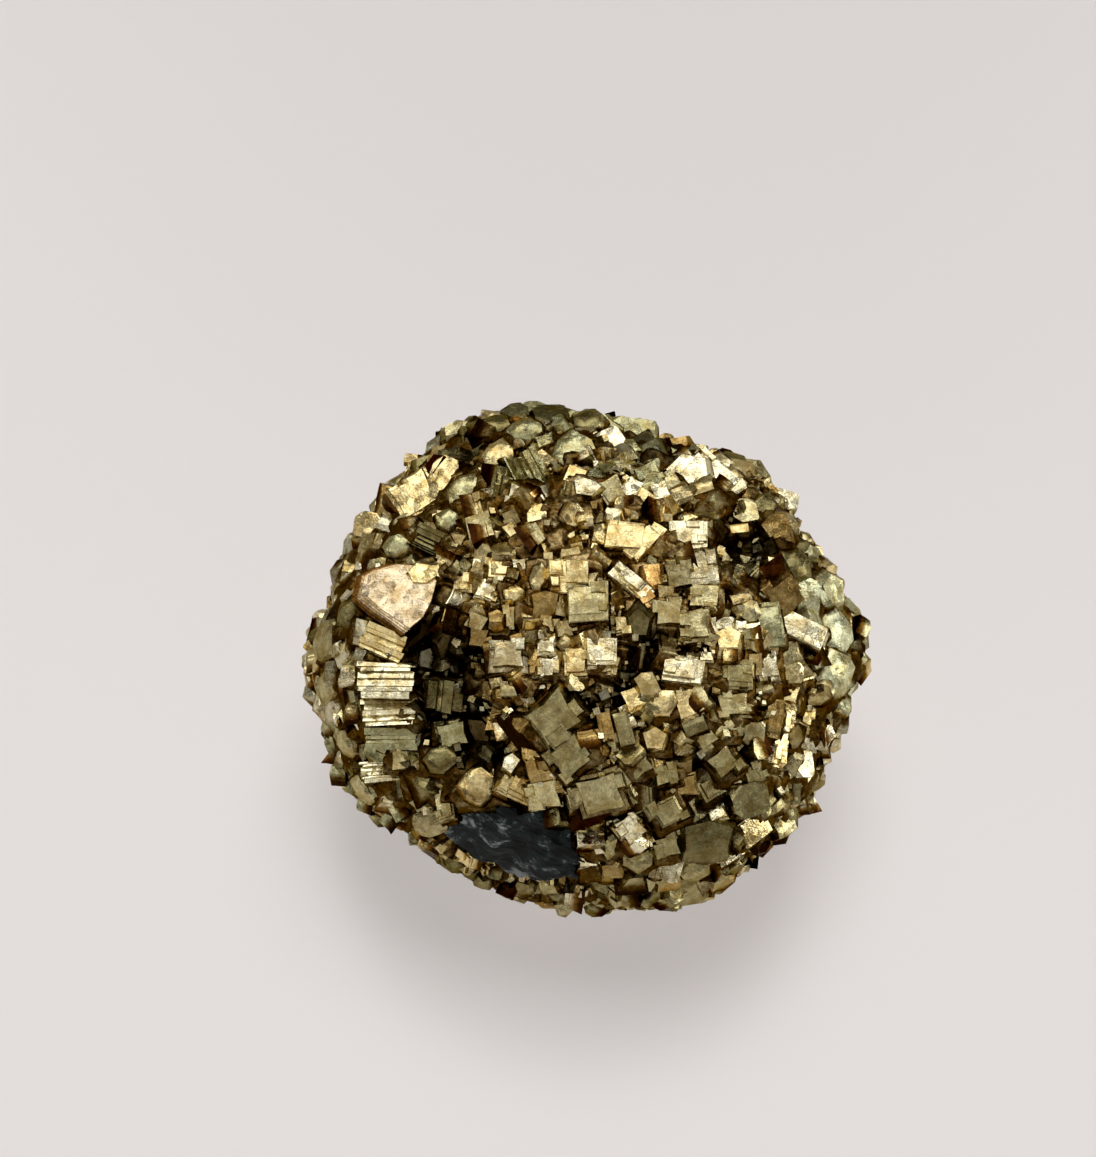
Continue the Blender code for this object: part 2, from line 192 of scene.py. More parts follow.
def stackForm(bearings, heights, reaches, bulge=0.07):
    # corner k of a level is where side k meets side k + 1: two lines at those bearings and reaches
    bearings = np.radians(bearings)
    reaches = np.broadcast_to(reaches, (len(heights), len(bearings)))
    following = np.roll(bearings, -1)
    nextReach = np.roll(reaches, -1, axis=1)
    turn = np.sin(following - bearings)
    x = (reaches * np.sin(following) - nextReach * np.sin(bearings)) / turn
    y = (nextReach * np.cos(bearings) - reaches * np.cos(following)) / turn
    return ringForm(stack(x, y), heights, bulge)


def domeFaces(points, faces, bulge, onlyLast=False):
    # each broad face swells or sinks a little: it becomes a fan round its middle, moved out along its normal
    # by bulge times a cosine of the face's number; each face is ruled along one of its own edges
    points, tips, counts, stripeAxis = list(points), [], [], []
    broad = 0.25  # area
    for number, face in enumerate(faces):
        face = list(face)
        ring = np.array([points[i] for i in face])
        middle = ring.mean(axis=0)
        spread = np.cross(ring - middle, np.roll(ring, -1, axis=0) - middle).sum(axis=0)
        area = np.linalg.norm(spread) / 2
        along = (int(np.argmax(np.abs(spread))) + 1 + number % 2) % 3
        if area < broad or (onlyLast and number < len(faces) - 1):
            tips += face
            counts.append(len(face))
            stripeAxis += [along] * len(face)
            continue
        points.append(middle + spread / (2 * area) * bulge * math.cos(2.4 * number))
        for i, j in zip(face, face[1:] + face[:1]):
            tips += [i, j, len(points) - 1]
            counts.append(3)
            stripeAxis += [along] * 3
    return {"points": np.array(points), "corners": np.array(tips), "counts": np.array(counts),
            "stripeAxis": np.array(stripeAxis)}


def steppedCube(seed):
    # four sides; each step up draws two of them in by more than the others, and the top edge is chamfered
    draw = np.random.default_rng(seed)
    reach = np.ones(4)
    heights, reaches = [-1.0], [reach]
    level = draw.uniform(0.45, 0.9)
    for step in range(draw.integers(1, 4)):
        heights += [level, level + 0.02]
        pull = np.full(4, 0.02)
        side = draw.integers(4)
        pull[side] = draw.uniform(0.1, 0.45)
        pull[(side + 1) % 4] = draw.choice([0.02, draw.uniform(0.1, 0.4)])
        reaches += [reach, reach - pull]
        reach = reach - pull
        level += draw.uniform(0.06, 0.2)
    heights += [level, level + 0.02]
    reaches += [reach, reach - 0.02]
    return stackForm(square, np.array(heights) - heights[-1] + 1, reaches)


def flaredCube(seed):
    # a square top with drawn-out corners on sides that spread towards the foot, so neighbours run together:
    # reach = top + flare * (depth / 2) ** power, and the middle of each side lies in from it by the pinch.
    # Odd seeds go down in two or three ledges instead of one sweep.
    draw = np.random.default_rng(seed)
    top, flare, power = draw.uniform(0.62, 0.86), draw.uniform(0.55, 0.95), draw.uniform(1.2, 1.8)
    depth = np.array([0.0, 0.07, 0.35, 0.75, 1.2, 2.0])
    if seed % 2:
        ledge = draw.uniform(0.2, 0.45)
        depth = np.array([0.0, 0.06, ledge, ledge + 0.07, 2 * ledge + 0.1, 2 * ledge + 0.17, 2.0])
    reach = top + flare * (depth / 2) ** power
    reach[0] -= 0.015
    if seed % 2:
        reach[2], reach[4] = reach[1] + 0.02, reach[3] + 0.02
        reach[3], reach[5] = reach[2] + draw.uniform(0.1, 0.3), reach[4] + draw.uniform(0.05, 0.25)
        reach[4], reach[6] = reach[3] + 0.03, max(reach[5] + 0.25, 1.4)
    pinch = draw.uniform(0.03, 0.14) * (1 - depth / 2)
    skew = draw.uniform(0.85, 1.15, 4)
    shape = []
    for level in range(len(depth)):
        for side in range(4):
            turn = side * math.pi / 2
            corner = np.array([math.cos(turn) - math.sin(turn), math.sin(turn) + math.cos(turn)])
            between = np.array([math.cos(turn + math.pi / 2), math.sin(turn + math.pi / 2)])
            ease = 1 + (skew[side] - 1) * (1 - 0.5 * depth[level])
            shape.append([*(corner * reach[level] * ease), 1 - depth[level]])
            shape.append([*(between * reach[level] * (1 - pinch[level])), 1 - depth[level] - 0.04])
    # the rings turned round to run from the foot up, and only the top closed: the foot is never seen
    faces = [*bands(len(depth), 8)[:, [1, 0, 3, 2]], np.arange(len(shape))[::-1][:8]]
    return domeFaces(np.array(shape)[::-1], faces, draw.uniform(-0.12, 0.08), onlyLast=True)


def roofedCube(seed):
    # like a pyritohedron: two opposite sides slope in near the top, one more than the other
    draw = np.random.default_rng(seed)
    eaves = draw.uniform(0.3, 0.75)
    inset = np.array([0.03, draw.uniform(0.3, 0.95), 0.03, draw.uniform(0.2, 0.7)])
    taper = np.ones(4) + draw.uniform(0.0, 0.08, 4)
    return stackForm(square, [-1, eaves, 1], [taper, np.ones(4), 1 - inset])


def cutCube(seed):
    # a cube with its corners cut off by octahedron faces, each more or less
    draw = np.random.default_rng(seed)
    low, high = np.ones(8), np.full(8, 0.97)
    low[1::2] = math.sqrt(2) * (1 - draw.uniform(0.02, 0.2, 4))
    high[1::2] = low[1::2] - draw.uniform(0.1, 0.55, 4)
    return stackForm(np.arange(8) * 45, [-1, draw.uniform(0.4, 0.75), 1], [low, low, high])


def shellForm(sides, terraces, seed, uneven):
    # thin round terraces, each drawn back more on one side, with wavy rims:
    # reach = (1 - shrink * i * (1 + 0.85 cos(turn - 0.9))) * (1 + waves) * a share of its own for each side
    draw = np.random.default_rng(seed)
    turn = (np.arange(sides) + draw.uniform(-0.3, 0.3, sides)) * 2 * math.pi / sides
    own = draw.uniform(1 - uneven, 1 + 0.5 * uneven, sides)
    circle = stack(np.cos(turn), np.sin(turn))
    outlines, heights = [circle], [-1.0]
    shrink = 0.34 / terraces
    for i in range(terraces):
        wave = 0.045 * np.sin(3 * turn + draw.uniform(0, 6)) + 0.03 * np.sin(5 * turn + draw.uniform(0, 6))
        reach = (1 - shrink * i * (1 + 0.85 * np.cos(turn - 0.9))) * (1 + wave) * own
        ring = circle * reach[:, None]
        top = 1 - 0.4 * (1 - (i + 1) / terraces)
        outlines += [ring, ring * 0.985]
        heights += [top - 0.04, top]
    return ringForm(outlines, heights, 0.03)


shield = {
    # corners of the top outline in mm, anticlockwise from the right
    "outline": [(3.3, 1.3), (2.1, 2.8), (-0.3, 3.1), (-1.9, 2.7), (-3.2, 1.9), (-3.4, -0.3), (-1.9, -1.6),
                (0.0, -2.7), (1.3, -3.6), (2.4, -2.4), (2.9, -0.8)],
    "half": 3.5,  # half its width
    "terraces": 6,
    "drift": (-0.3, 0.06),  # each terrace below reaches out further to the left
    "growth": 0.035,
    "thick": 0.16,
}


def shieldForm():
    # one plate on another: outline * (1 + growth * i) + drift * i, i counting terraces down from the top
    outline = np.array(shield["outline"]) / shield["half"]
    outlines, heights = [], []
    for i in range(shield["terraces"])[::-1]:
        ring = outline * (1 + shield["growth"] * i) + np.array(shield["drift"]) * i / shield["half"]
        outlines += [ring, ring * 0.99]
        heights += [1 - shield["thick"] * (i + 1) + 0.02, 1 - shield["thick"] * i]
    heights[0] = -1.0
    return ringForm(outlines, heights, 0.03)


def ruledBlock(seed):
    # a block ruled across: its top falls away along broad strips and steps up again between them
    draw = np.random.default_rng(seed + 20)
    strips = draw.integers(4, 7)
    edges = np.concatenate([[0], np.cumsum(draw.uniform(0.6, 1.6, strips))])
    edges = edges / edges[-1] * 2 - 1
    y = stack(edges[:-1] + 0.02, edges[1:] - 0.02).ravel()
    z = stack(1 - draw.uniform(0, 0.06, strips), 1 - draw.uniform(0.1, 0.22, strips)).ravel()
    x = np.repeat(draw.uniform(0.74, 1.0, strips), 2)
    foot = np.full(len(y), -1.0)
    section = [(-x, y, foot), (x, y, foot), (x, y, z), (-x, y, z)]
    points = np.stack([np.stack(corner, axis=-1) for corner in section], axis=1).reshape(-1, 3)
    faces = [*bands(len(y), 4)[:, [1, 0, 3, 2]], np.arange(4), np.arange(len(points))[::-1][:4]]
    return domeFaces(points, faces, 0.04)


def octahedronForm():
    return stackForm(square, [-0.95, -0.05, 0.05, 0.95], np.array([[0.08], [0.95], [0.95], [0.08]]))


def pyritohedron(wedge):
    # twelve five-sided faces: corners at (1, 1, 1), (0, 1 + w, 1 - w * w) and their like, faces square to
    # (w, 1, 0) and its like; turned so that one face looks along the third axis
    signs = np.array([[a, b, c] for a in (-1, 1) for b in (-1, 1) for c in (-1, 1)], float)
    edges = [np.roll(signs * [0, 1 + wedge, 1 - wedge ** 2], k, axis=1) for k in range(3)]
    walls = [np.roll(signs * [wedge, 1, 0], k, axis=1) for k in range(3)]
    corners = np.unique(np.concatenate([signs, *edges]).round(9), axis=0)
    faces = []
    for normal in np.unique(np.concatenate(walls).round(9), axis=0):
        ring = np.argsort(-(corners @ normal))[:5]
        spokes = corners[ring] - corners[ring].mean(axis=0)
        side = np.cross(normal, spokes[0])
        order = np.argsort(np.arctan2(spokes @ side / np.linalg.norm(side), spokes @ unit(spokes[0])))
        faces.append(ring[order])
    tip = math.atan(wedge)
    turn = np.array([[1, 0, 0], [0, math.cos(tip), -math.sin(tip)], [0, math.sin(tip), math.cos(tip)]])
    return domeFaces(corners @ turn.T / (1 + 0.6 * wedge), faces, 0.03)


def ballForm(seed):
    # a lump with five to seven flat sides at uneven bearings, drawn in above and below the middle
    draw = np.random.default_rng(seed + 50)
    sides = draw.integers(5, 8)
    bearings = np.arange(sides) * 360 / sides + draw.uniform(-9, 9, sides)
    reach = draw.uniform(0.88, 1.0, sides)
    shares = np.array([0.55, 0.98, 1.0, 0.76, 0.36])[:, None]
    uneven = draw.uniform(0.93, 1.07, (5, sides))
    return stackForm(bearings, [-0.9, -0.3, 0.25, 0.72, 0.94], reach * shares * uneven)


def smallCrystal(seed):
    # a plain block whose foot spreads and whose top corners each sit a little high or low
    draw = np.random.default_rng(seed + 100)
    form = stackForm(square, [-1, 1], np.array([[1.15], [draw.uniform(0.7, 0.88)]]), 0)
    form["points"][4:8] += draw.uniform(-0.14, 0.14, (4, 3))
    return form


forms = {
    "cube": [flaredCube(seed) for seed in range(12)],
    "block": [steppedCube(seed) for seed in range(8)],
    "ruled": [ruledBlock(seed) for seed in range(6)],
    "roofed": [roofedCube(seed) for seed in range(6)],
    "cut": [cutCube(seed) for seed in range(6)],
    "plate": [shellForm(6, 2, 4, 0.22), shellForm(7, 3, 9, 0.22), shellForm(5, 2, 5, 0.15)],
    "shell": [shieldForm()],
    "small": [smallCrystal(seed) for seed in range(8)],
    "octahedron": [octahedronForm()],
    "ball": [ballForm(seed) for seed in range(4)] + [pyritohedron(w) for w in (0.3, 0.45, 0.6)],
    "penta": [pyritohedron(0.5)],
}

# What each tone is: colour as sRGB hex, and how rough the faces are
tones = {
    "amber": ("d6b070", 0.18),
    "pale": ("f2eac6", 0.15),
    "peach": ("f0dcb8", 0.24),
    "gold": ("e7d49c", 0.17),
    "olive": ("cfc494", 0.20),
    "green": ("bcb98e", 0.22),
    "sage": ("dcddb4", 0.26),
    "moss": ("aca275", 0.21),
    "brown": ("c0a468", 0.20),
    "dark": ("8a8158", 0.22),
}

# Where the tones lie on the showy side: across, up, radius, tone
toneZones = [
    (-16, 15, 8, "gold"),  # upper left rim
    (-20, 4, 7, "pale"),  # left knob
    (-1, 10, 9, "gold"),  # crown
    (10, 12, 8, "gold"),
    (4, 21, 7, "green"),  # back rim
    (18, 20, 6, "pale"),
    (25, 0, 6, "sage"),  # right knob
    (22, 8, 6, "sage"),
    (22, -9, 6, "pale"),
    (17, 0, 8, "gold"),
    (12, -7, 5, "olive"),
    (16, -12, 10, "moss"),
    (4, -15, 9, "moss"),
    (9, 3, 6, "gold"),
    (5.5, 9, 5, "amber"),
    (10, 5, 4, "pale"),
    (-8, -4, 7, "brown"),  # gully and what lies under it
    (-12, -10, 6, "dark"),
    (-8, -14, 5, "dark"),
    (20, 12, 5, "dark"),
    (-14, 21, 4, "dark"),
    (-20, -10, 7, "green"),
]


def linear(hexColour):
    # sRGB hex to linear light
    value = np.array([int(hexColour[i:i + 2], 16) / 255 for i in (0, 2, 4)])
    return np.where(value <= 0.04045, value / 12.92, ((value + 0.055) / 1.055) ** 2.4)


def spun(tall, mains, spins):
    # frames whose third axis is the main face's normal, spun on it from where the second leans
    tall = unit(tall)
    wide = np.cross(tall, mains)
    c, s = np.cos(spins)[:, None], np.sin(spins)[:, None]
    return stack(wide * c + tall * s, tall * c - wide * s, mains)


def turnsFor(mains, spins):
    # frames that lean towards the showy side's up
    tall = upAxis - mains * (mains @ upAxis)[:, None]
    weak = np.linalg.norm(tall, axis=1) < 0.1
    tall[weak] = acrossAxis - mains[weak] * (mains[weak] @ acrossAxis)[:, None]
    return spun(tall, mains, spins)


def retip(frames, mains, spins):
    # each frame tipped just enough for a new main face
    tall = frames[:, :, 1]
    return spun(tall - mains * np.sum(tall * mains, axis=1)[:, None], mains, spins)


# tarnish and painted shade come on with depth under each crystal's own top: rise = top - fall * depth in mm
tarnishAndPaintedShade = {"top": 1.12, "fall": 0.62}


def addCrystals(parts, form, middles, turns, halves, colours, polish):
    # every copy of one form: its points are stretched, turned and moved, all as one array
    local = form["points"][None] * halves[:, None, :]
    points = middles[:, None, :] + np.einsum("nij,nvj->nvi", turns, local)
    count, size = points.shape[:2]
    offsets = rng.uniform(-50, 50, (count, 1, 3))
    rise = tarnishAndPaintedShade["top"] - tarnishAndPaintedShade["fall"] * (halves[:, None, 2] - local[..., 2])
    corners = form["corners"][None] + np.arange(count)[:, None] * size
    axis = np.broadcast_to(form["stripeAxis"][None], corners.shape)
    stripes = np.take_along_axis(local[:, form["corners"], :], axis[..., None], axis=2)[..., 0]
    parts.append({
        "points": points.reshape(-1, 3),
        "corners": corners.ravel(),
        "counts": np.tile(form["counts"], count),
        "grain": (local + offsets).reshape(-1, 3),
        "rise": rise.ravel(),
        "tone": np.repeat(colours, size, axis=0),
        "polish": np.repeat(polish, size),
        "stripe": (stripes + offsets[:, :, 0]).ravel(),
    })


def addKinds(parts, kinds, *arrays):
    # a random form of its kind for each crystal, all copies of one form together
    pick = np.array([rng.integers(len(forms[kind])) for kind in kinds])
    for kind in forms:
        for i, form in enumerate(forms[kind]):
            use = (kinds == kind) & (pick == i)
            if use.any():
                addCrystals(parts, form, *(array[use] for array in arrays))


# mm over the larger crystal's top, and a share of the lesser one's size
parallel = {"rise": (-0.3, 0.35), "overhang": 0.7}


def overCorner(middles, turns, halves, size, reach, side):
    # where lesser crystals in parallel growth sit: over an edge or a corner, a little proud or low
    shift = side * (halves * reach - parallel["overhang"] * size)
    shift[:, 2] = halves[:, 2] + rng.uniform(*parallel["rise"], len(size)) - size[:, 2]
    return middles + np.einsum("nij,nj->ni", turns, shift)


# nothing grown is quite straight: every point gives way a little, alike for its neighbours
warp = {"size": 1.6, "reach": 0.12, "seeds": (41, 42, 43)}

# what the materials read: kind, where it is held, and the field that it is set through
layers = {
    "grain": ("FLOAT_VECTOR", "POINT", "vector"),  # each crystal's own millimetres
    "rise": ("FLOAT", "POINT", "value"),  # low where tarnish and painted shade lie
    "polish": ("FLOAT", "POINT", "value"),  # roughness
    "tone": ("FLOAT_COLOR", "POINT", "color"),
    "stripe": ("FLOAT", "CORNER", "value"),  # across the growth lines
}


def addObject(name, data):
    thing = bpy.data.objects.new(name, data)
    bpy.context.scene.collection.objects.link(thing)
    return thing


def makePiece(name, parts, material, sharpAbove=34):
    # joins the arrays of all parts into one mesh, cut level at the base
    joined = {key: np.concatenate([part[key] for part in parts]) for key in ("points", "counts", *layers)}
    points, counts = joined["points"], joined["counts"]
    give = np.stack([latticeNoise(points, warp["size"], seed) for seed in warp["seeds"]], axis=-1)
    points = points + warp["reach"] * give
    points = points + dome["middle"]
    points[:, 2] = np.maximum(points[:, 2], 0)
    first = np.cumsum([0] + [len(part["points"]) for part in parts[:-1]])
    corners = np.concatenate([part["corners"] + f for part, f in zip(parts, first)])
    starts = np.concatenate([[0], np.cumsum(counts)[:-1]])
    mesh = bpy.data.meshes.new(name)
    mesh.vertices.add(len(points))
    mesh.vertices.foreach_set("co", (points * mm).astype(np.float32).ravel())
    mesh.loops.add(len(corners))
    mesh.loops.foreach_set("vertex_index", corners.astype(np.int32))
    mesh.polygons.add(len(counts))
    mesh.polygons.foreach_set("loop_start", starts.astype(np.int32))
    mesh.update(calc_edges=True)
    mesh.set_sharp_from_angle(angle=math.radians(sharpAbove))
    joined["tone"] = np.pad(joined["tone"], ((0, 0), (0, 1)), constant_values=1.0)
    for key, (kind, domain, field) in layers.items():
        layer = mesh.attributes.new(key, kind, domain)
        layer.data.foreach_set(field, joined[key].astype(np.float32).ravel())
    mesh.materials.append(material)
    piece = addObject(name, mesh)
    mesh.validate()
    print(name, len(points), "points", int((counts - 2).sum()), "triangles")
    return piece


# Large crystals of the showy side: form, across, up, width, height, spin in degrees, how far the main face
# looks across and up, and tone
mainCrystals = [
    # back rim, left to right
    ("ball", -12.8, 23, 3.2, 3, 10, -0.3, 0.55, "olive"),
    ("cut", -14.5, 18.4, 2.6, 4.6, -18, -0.22, 0.44, "gold"),
    ("cube", -17.2, 16.6, 4.6, 4.6, 35, -0.24, 0.42, "gold"),
    ("ball", -19.6, 18.2, 2.6, 2.8, 0, -0.5, 0.45, "olive"),
    ("ball", -20.8, 15.7, 3.2, 2.4, 0, -0.5, 0.4, "olive"),
    ("cut", -21.6, 13.5, 3.8, 2.8, -8, -0.45, 0.35, "gold"),
    ("cut", -24, 11.5, 2.4, 3, 0, -0.8, 0.2, "green"),
    ("ball", -24.3, 9.6, 2.6, 3.2, 0, -0.85, 0.1, "green"),
    ("ball", -12.1, 17.1, 4.8, 5.4, -14, 0.05, 0.22, "green"),
    ("block", -8, 17.6, 2.6, 4, -10, 0.5, -0.1, "dark"),
    ("ball", -8.6, 20.5, 4, 5, 0, -0.05, 0.45, "gold"),
    ("ruled", -5.4, 19.2, 6.4, 3.6, -65, 0.3, 0.2, "green"),
    ("ball", -9.2, 24.2, 4.2, 3.6, 20, -0.2, 0.8, "dark"),
    ("ball", -6, 23.4, 4, 3.6, 0, 0, 0.6, "green"),
    ("cut", -3.4, 24.6, 3.6, 2.8, 10, 0.1, 0.8, "dark"),
    ("ball", 0.3, 24.4, 4.4, 3.6, 40, 0, 0.75, "dark"),
    ("ball", -1, 21.5, 5, 5.4, 15, 0, 0.42, "green"),
    ("cut", 2.7, 22.2, 2.4, 2.4, 25, 0.1, 0.52, "pale"),
    ("ball", 5.5, 23.2, 4, 3, 0, 0.1, 0.6, "green"),
    ("cube", 6.5, 18.3, 2.8, 3, 22, 0.15, 0.3, "green"),
    ("penta", 10.6, 19.5, 5.2, 5.2, 18, -0.03, 0.50, "pale"),
    ("block", 13.4, 18.9, 2, 5.8, 40, 0.1, 0.5, "pale"),
    ("ball", 15, 20.8, 4.2, 3.4, 0, 0.2, 0.8, "dark"),
    ("ball", 17.2, 18.8, 3.6, 4.6, 25, 0.5, 0.5, "olive"),
    ("cut", 19.8, 16.4, 4, 2.2, -15, 0.3, 0.42, "pale"),
    ("cut", 21.8, 14, 1.6, 3.6, 0, 0.55, 0.35, "gold"),
    # upper right
    ("octahedron", 13, 16, 3.2, 3.2, 45, 0, 0.2, "olive"),
    ("cut", 16, 15, 2.6, 2.4, 10, 0.1, 0.4, "olive"),
    ("ball", 17.9, 15.3, 3.2, 3, 0, 0.3, 0.3, "dark"),
    ("ball", 19.4, 13.4, 3.8, 4, 20, 0.3, 0.2, "brown"),
    ("block", 15, 13.2, 2.6, 1.1, 5, 0, 0.5, "gold"),
    ("ball", 21.5, 9.4, 4.4, 4.2, 0, 0.5, 0.25, "dark"),
    ("ball", 24.2, 10.4, 2.8, 2.6, 20, 0.7, 0.3, "brown"),
    ("ball", 24.9, 6.8, 3.8, 4.6, 10, 0.68, 0.1, "green"),
    ("ball", 22.5, 6.6, 3.2, 3.8, 0, 0.5, 0.1, "sage"),
    ("cube", 20.2, 6.3, 3.6, 3.6, 36, 0.35, -0.1, "brown"),
    ("cube", 19, 9.6, 2, 2.2, 0, 0.1, 0.42, "pale"),
    ("ball", 25.8, 2.6, 5, 5.6, 0, 0.62, 0.1, "sage"),
    ("ball", 25.8, -1.2, 5.2, 5.2, 25, 0.62, 0.1, "sage"),
    # crown
    ("block", 10.4, 12.6, 3.6, 2.8, 0, 0, 0.45, "pale"),
    ("block", 11.5, 9.4, 3.4, 3.6, 6, 0.05, 0.32, "pale"),
    ("cube", 9.4, 8.5, 2.9, 2.9, 9, 0.1, 0.12, "olive"),
    ("cube", 12, 6.5, 3, 2.4, -4, 0.05, 0.35, "olive"),
    ("block", 4, 12.7, 3.6, 2.8, -5, 0, 0.48, "gold"),
    ("block", 6, 12, 1.8, 4.4, -38, -0.15, 0.45, "gold"),
    ("cube", 7.6, 11, 2.4, 2.4, -35, 0.4, -0.1, "brown"),
    ("block", 4.6, 8, 1.7, 4.4, 45, 0.1, 0.5, "pale"),
    ("plate", 0.3, 17.4, 3.6, 2.6, -15, -0.05, 0.52, "pale"),
    ("cube", 2.8, 17, 2.4, 2.4, 30, 0.1, 0.2, "olive"),
    ("block", 4.4, 17, 1.6, 2.8, -30, 0, 0.5, "pale"),
    ("plate", 2.9, 14.7, 2, 2, 0, 0, 0.5, "pale"),
    ("block", -1.6, 8.5, 3.6, 3.2, 0, 0, 0.38, "gold"),
    ("cube", -6.5, 9.4, 2.1, 2, 0, 0, 0.4, "pale"),
    ("ball", -4.5, 8.2, 2.4, 3.8, 0, 0, 0.2, "gold"),
    ("cube", -9.7, 7.2, 2, 2.2, -20, -0.05, 0.35, "pale"),
    ("ball", -7, 6.5, 2.6, 2.4, 0, 0, 0.15, "gold"),
    ("ball", -4, 5.8, 2.8, 2.4, 0, 0, 0.1, "brown"),
    ("block", 0.3, 5.9, 3.8, 3.8, 2, 0, 0.28, "olive"),
    ("cube", -7.7, 0.7, 3.4, 3.2, 0, 0, 0.36, "pale"),
    ("cube", -3.8, 1.6, 1.7, 1.8, 0, 0, 0.4, "pale"),
    ("cube", -3.4, -0.6, 2.6, 2.3, 0, 0, 0.36, "pale"),
    ("cube", -0.9, 0, 2.2, 3, 0, 0, 0.3, "gold"),
    ("block", 1.7, 0.9, 2.8, 2.6, 0, 0.05, 0.36, "pale"),
    ("ball", 5.4, 3.7, 2.8, 3.6, 0, 0, -0.1, "dark"),
    ("cube", 8.4, 4.8, 3.2, 3.2, 0, 0, 0.2, "olive"),
    ("cube", 10.9, 3.6, 3, 3, 5, 0.05, 0.3, "olive"),
    ("block", 9.8, -0.8, 3.8, 2.6, -8, 0, 0.44, "pale"),
    ("cube", 12.2, 0.4, 1.5, 1.4, 0, 0, 0.5, "pale"),
    ("penta", 14.3, 2.1, 3, 3.4, 0, 0, 0.5, "gold"),
    ("ball", 16.6, 5, 2.6, 2.6, 20, 0.15, 0.2, "olive"),
    ("cube", 16.4, 2.9, 2.4, 2.2, 0, 0.15, 0.4, "pale"),
    ("block", 18.6, 3.6, 2.4, 4.4, 5, 0.15, 0.3, "green"),
    ("block", 21.8, 3.2, 4.6, 2.6, -28, 0.2, 0.42, "pale"),
    ("cube", 20.6, 0.7, 2.6, 2.6, 12, 0.25, 0.2, "olive"),
    ("cube", 18.4, -0.5, 2.6, 3.2, 10, 0.15, 0.3, "pale"),
    # lower right
    ("block", 15, -1.3, 3.5, 2.8, 0, 0.05, 0.25, "moss"),
    ("cube", 10.4, -4.2, 2.8, 2.8, 20, 0, 0.3, "gold"),
    ("ball", 7.9, -4.2, 3.4, 3, 25, 0, 0.15, "gold"),
    ("cube", 14.8, -4.4, 3.5, 2.8, 6, 0.05, 0.22, "olive"),
    ("block", 19, -5.8, 1.7, 3.7, -12, 0.3, 0.1, "brown"),
    ("block", 20.4, -5.4, 1.7, 2.3, -8, 0.5, 0.16, "gold"),
    ("block", 19.5, -8.8, 1.8, 3.6, -16, 0.52, 0.14, "gold"),
    ("cube", 12, -7.7, 2.6, 2.6, 38, 0.05, 0.1, "moss"),
    ("cube", 13.9, -10.2, 3.2, 3.2, 38, 0.08, 0.08, "moss"),
    ("cube", 17, -11.4, 2.6, 2.6, 20, 0.25, 0, "moss"),
    ("cube", -3.1, -5.8, 5.5, 5.2, 38, -0.05, 0.1, "moss"),
    ("cube", -1.5, -9.8, 4, 3.7, 38, 0, -0.05, "moss"),
    ("cube", 1.5, -13.5, 5, 4.5, 16, 0.05, -0.08, "olive"),
    ("cube", 5.4, -10.5, 2.6, 2.5, 35, 0.05, 0, "moss"),
    ("block", 2.1, -6.6, 1.3, 2.6, 10, 0.1, 0.1, "brown"),
    ("block", 3.9, -6.8, 1.5, 3.1, 12, 0.1, 0.15, "moss"),
    ("ball", 7, -7.8, 3, 2.8, 0, 0.05, 0.1, "gold"),
    ("cube", 8.2, -11.4, 2.6, 2.4, 12, 0.05, 0, "moss"),
    ("cube", 8.4, -15.2, 3.6, 3.3, 28, 0.05, 0, "moss"),
    ("cube", 4.6, -16.8, 2.6, 2.8, 38, 0, 0.05, "pale"),
    ("block", 0.6, -17.4, 2.6, 2.1, 0, 0.15, 0.42, "pale"),
    ("cube", 0.4, -19.9, 2.1, 1.8, 0, -0.05, 0.2, "pale"),
    ("cube", 2.6, -18.8, 2.2, 2, 30, 0, -0.1, "moss"),
    ("ball", 2.8, -21.2, 2.8, 2.6, 0, 0, -0.3, "brown"),
    ("ball", 5.4, -20.1, 3.6, 3.2, 0, 0, -0.2, "moss"),
    ("cube", 8.3, -18.7, 2.9, 2.7, 15, 0.05, -0.1, "moss"),
    ("ball", 12.3, -18, 5.4, 4.6, 0, 0.2, -0.3, "dark"),
    ("cube", 13.1, -15.2, 2, 1.7, 20, 0.1, 0.4, "pale"),
    ("cut", 16.6, -14, 3.8, 3.4, 15, 0.35, -0.15, "moss"),
    ("block", 17.1, -16.7, 3.4, 2.6, 30, 0.50, 0.14, "gold"),
    ("block", 14.8, -19.1, 2.6, 1.6, 25, 0.52, 0.14, "pale"),
    ("ruled", 21.8, -13.3, 2.9, 2.9, 5, 0.57, 0.16, "pale"),
    ("cut", 22, -10.4, 2.4, 2.6, 0, 0.60, 0.14, "pale"),
    ("ball", 11.2, -21.5, 4, 3.2, 0, 0.2, -0.5, "moss"),
    ("ball", 5.6, -23.3, 3.4, 3.2, 0, 0, -0.6, "moss"),
    ("ball", 2.6, -23.4, 3, 2.8, 0, -0.1, -0.6, "dark"),
    ("ruled", 8.1, -21, 2.6, 3, 80, 0.1, -0.3, "pale"),
    # left knob
    ("shell", -18.3, 6.6, 7, 7, 0, -0.22, 0.44, "peach"),
    ("plate", -16.2, 8.8, 3.8, 3.4, 20, -0.2, 0.42, "gold"),
    ("ruled", -20.2, 1.8, 4.8, 2.6, -22, -0.2, -0.1, "gold"),
    ("ruled", -20, -2, 6.2, 3.6, 0, -0.22, 0.16, "pale"),
    ("ruled", -19.8, -5.2, 6.2, 2.6, 3, -0.20, 0.14, "pale"),
    ("ruled", -19.7, -8, 5.8, 2.2, 0, -0.1, -0.2, "green"),
    ("ruled", -20.6, -11.2, 4.8, 2.1, 6, -0.22, 0.16, "pale"),
    ("ball", -26.4, -2.8, 3.8, 4.4, 0, -0.85, 0, "olive"),
    ("cut", -26.2, 2, 3.4, 3.8, 20, -0.8, 0.2, "olive"),
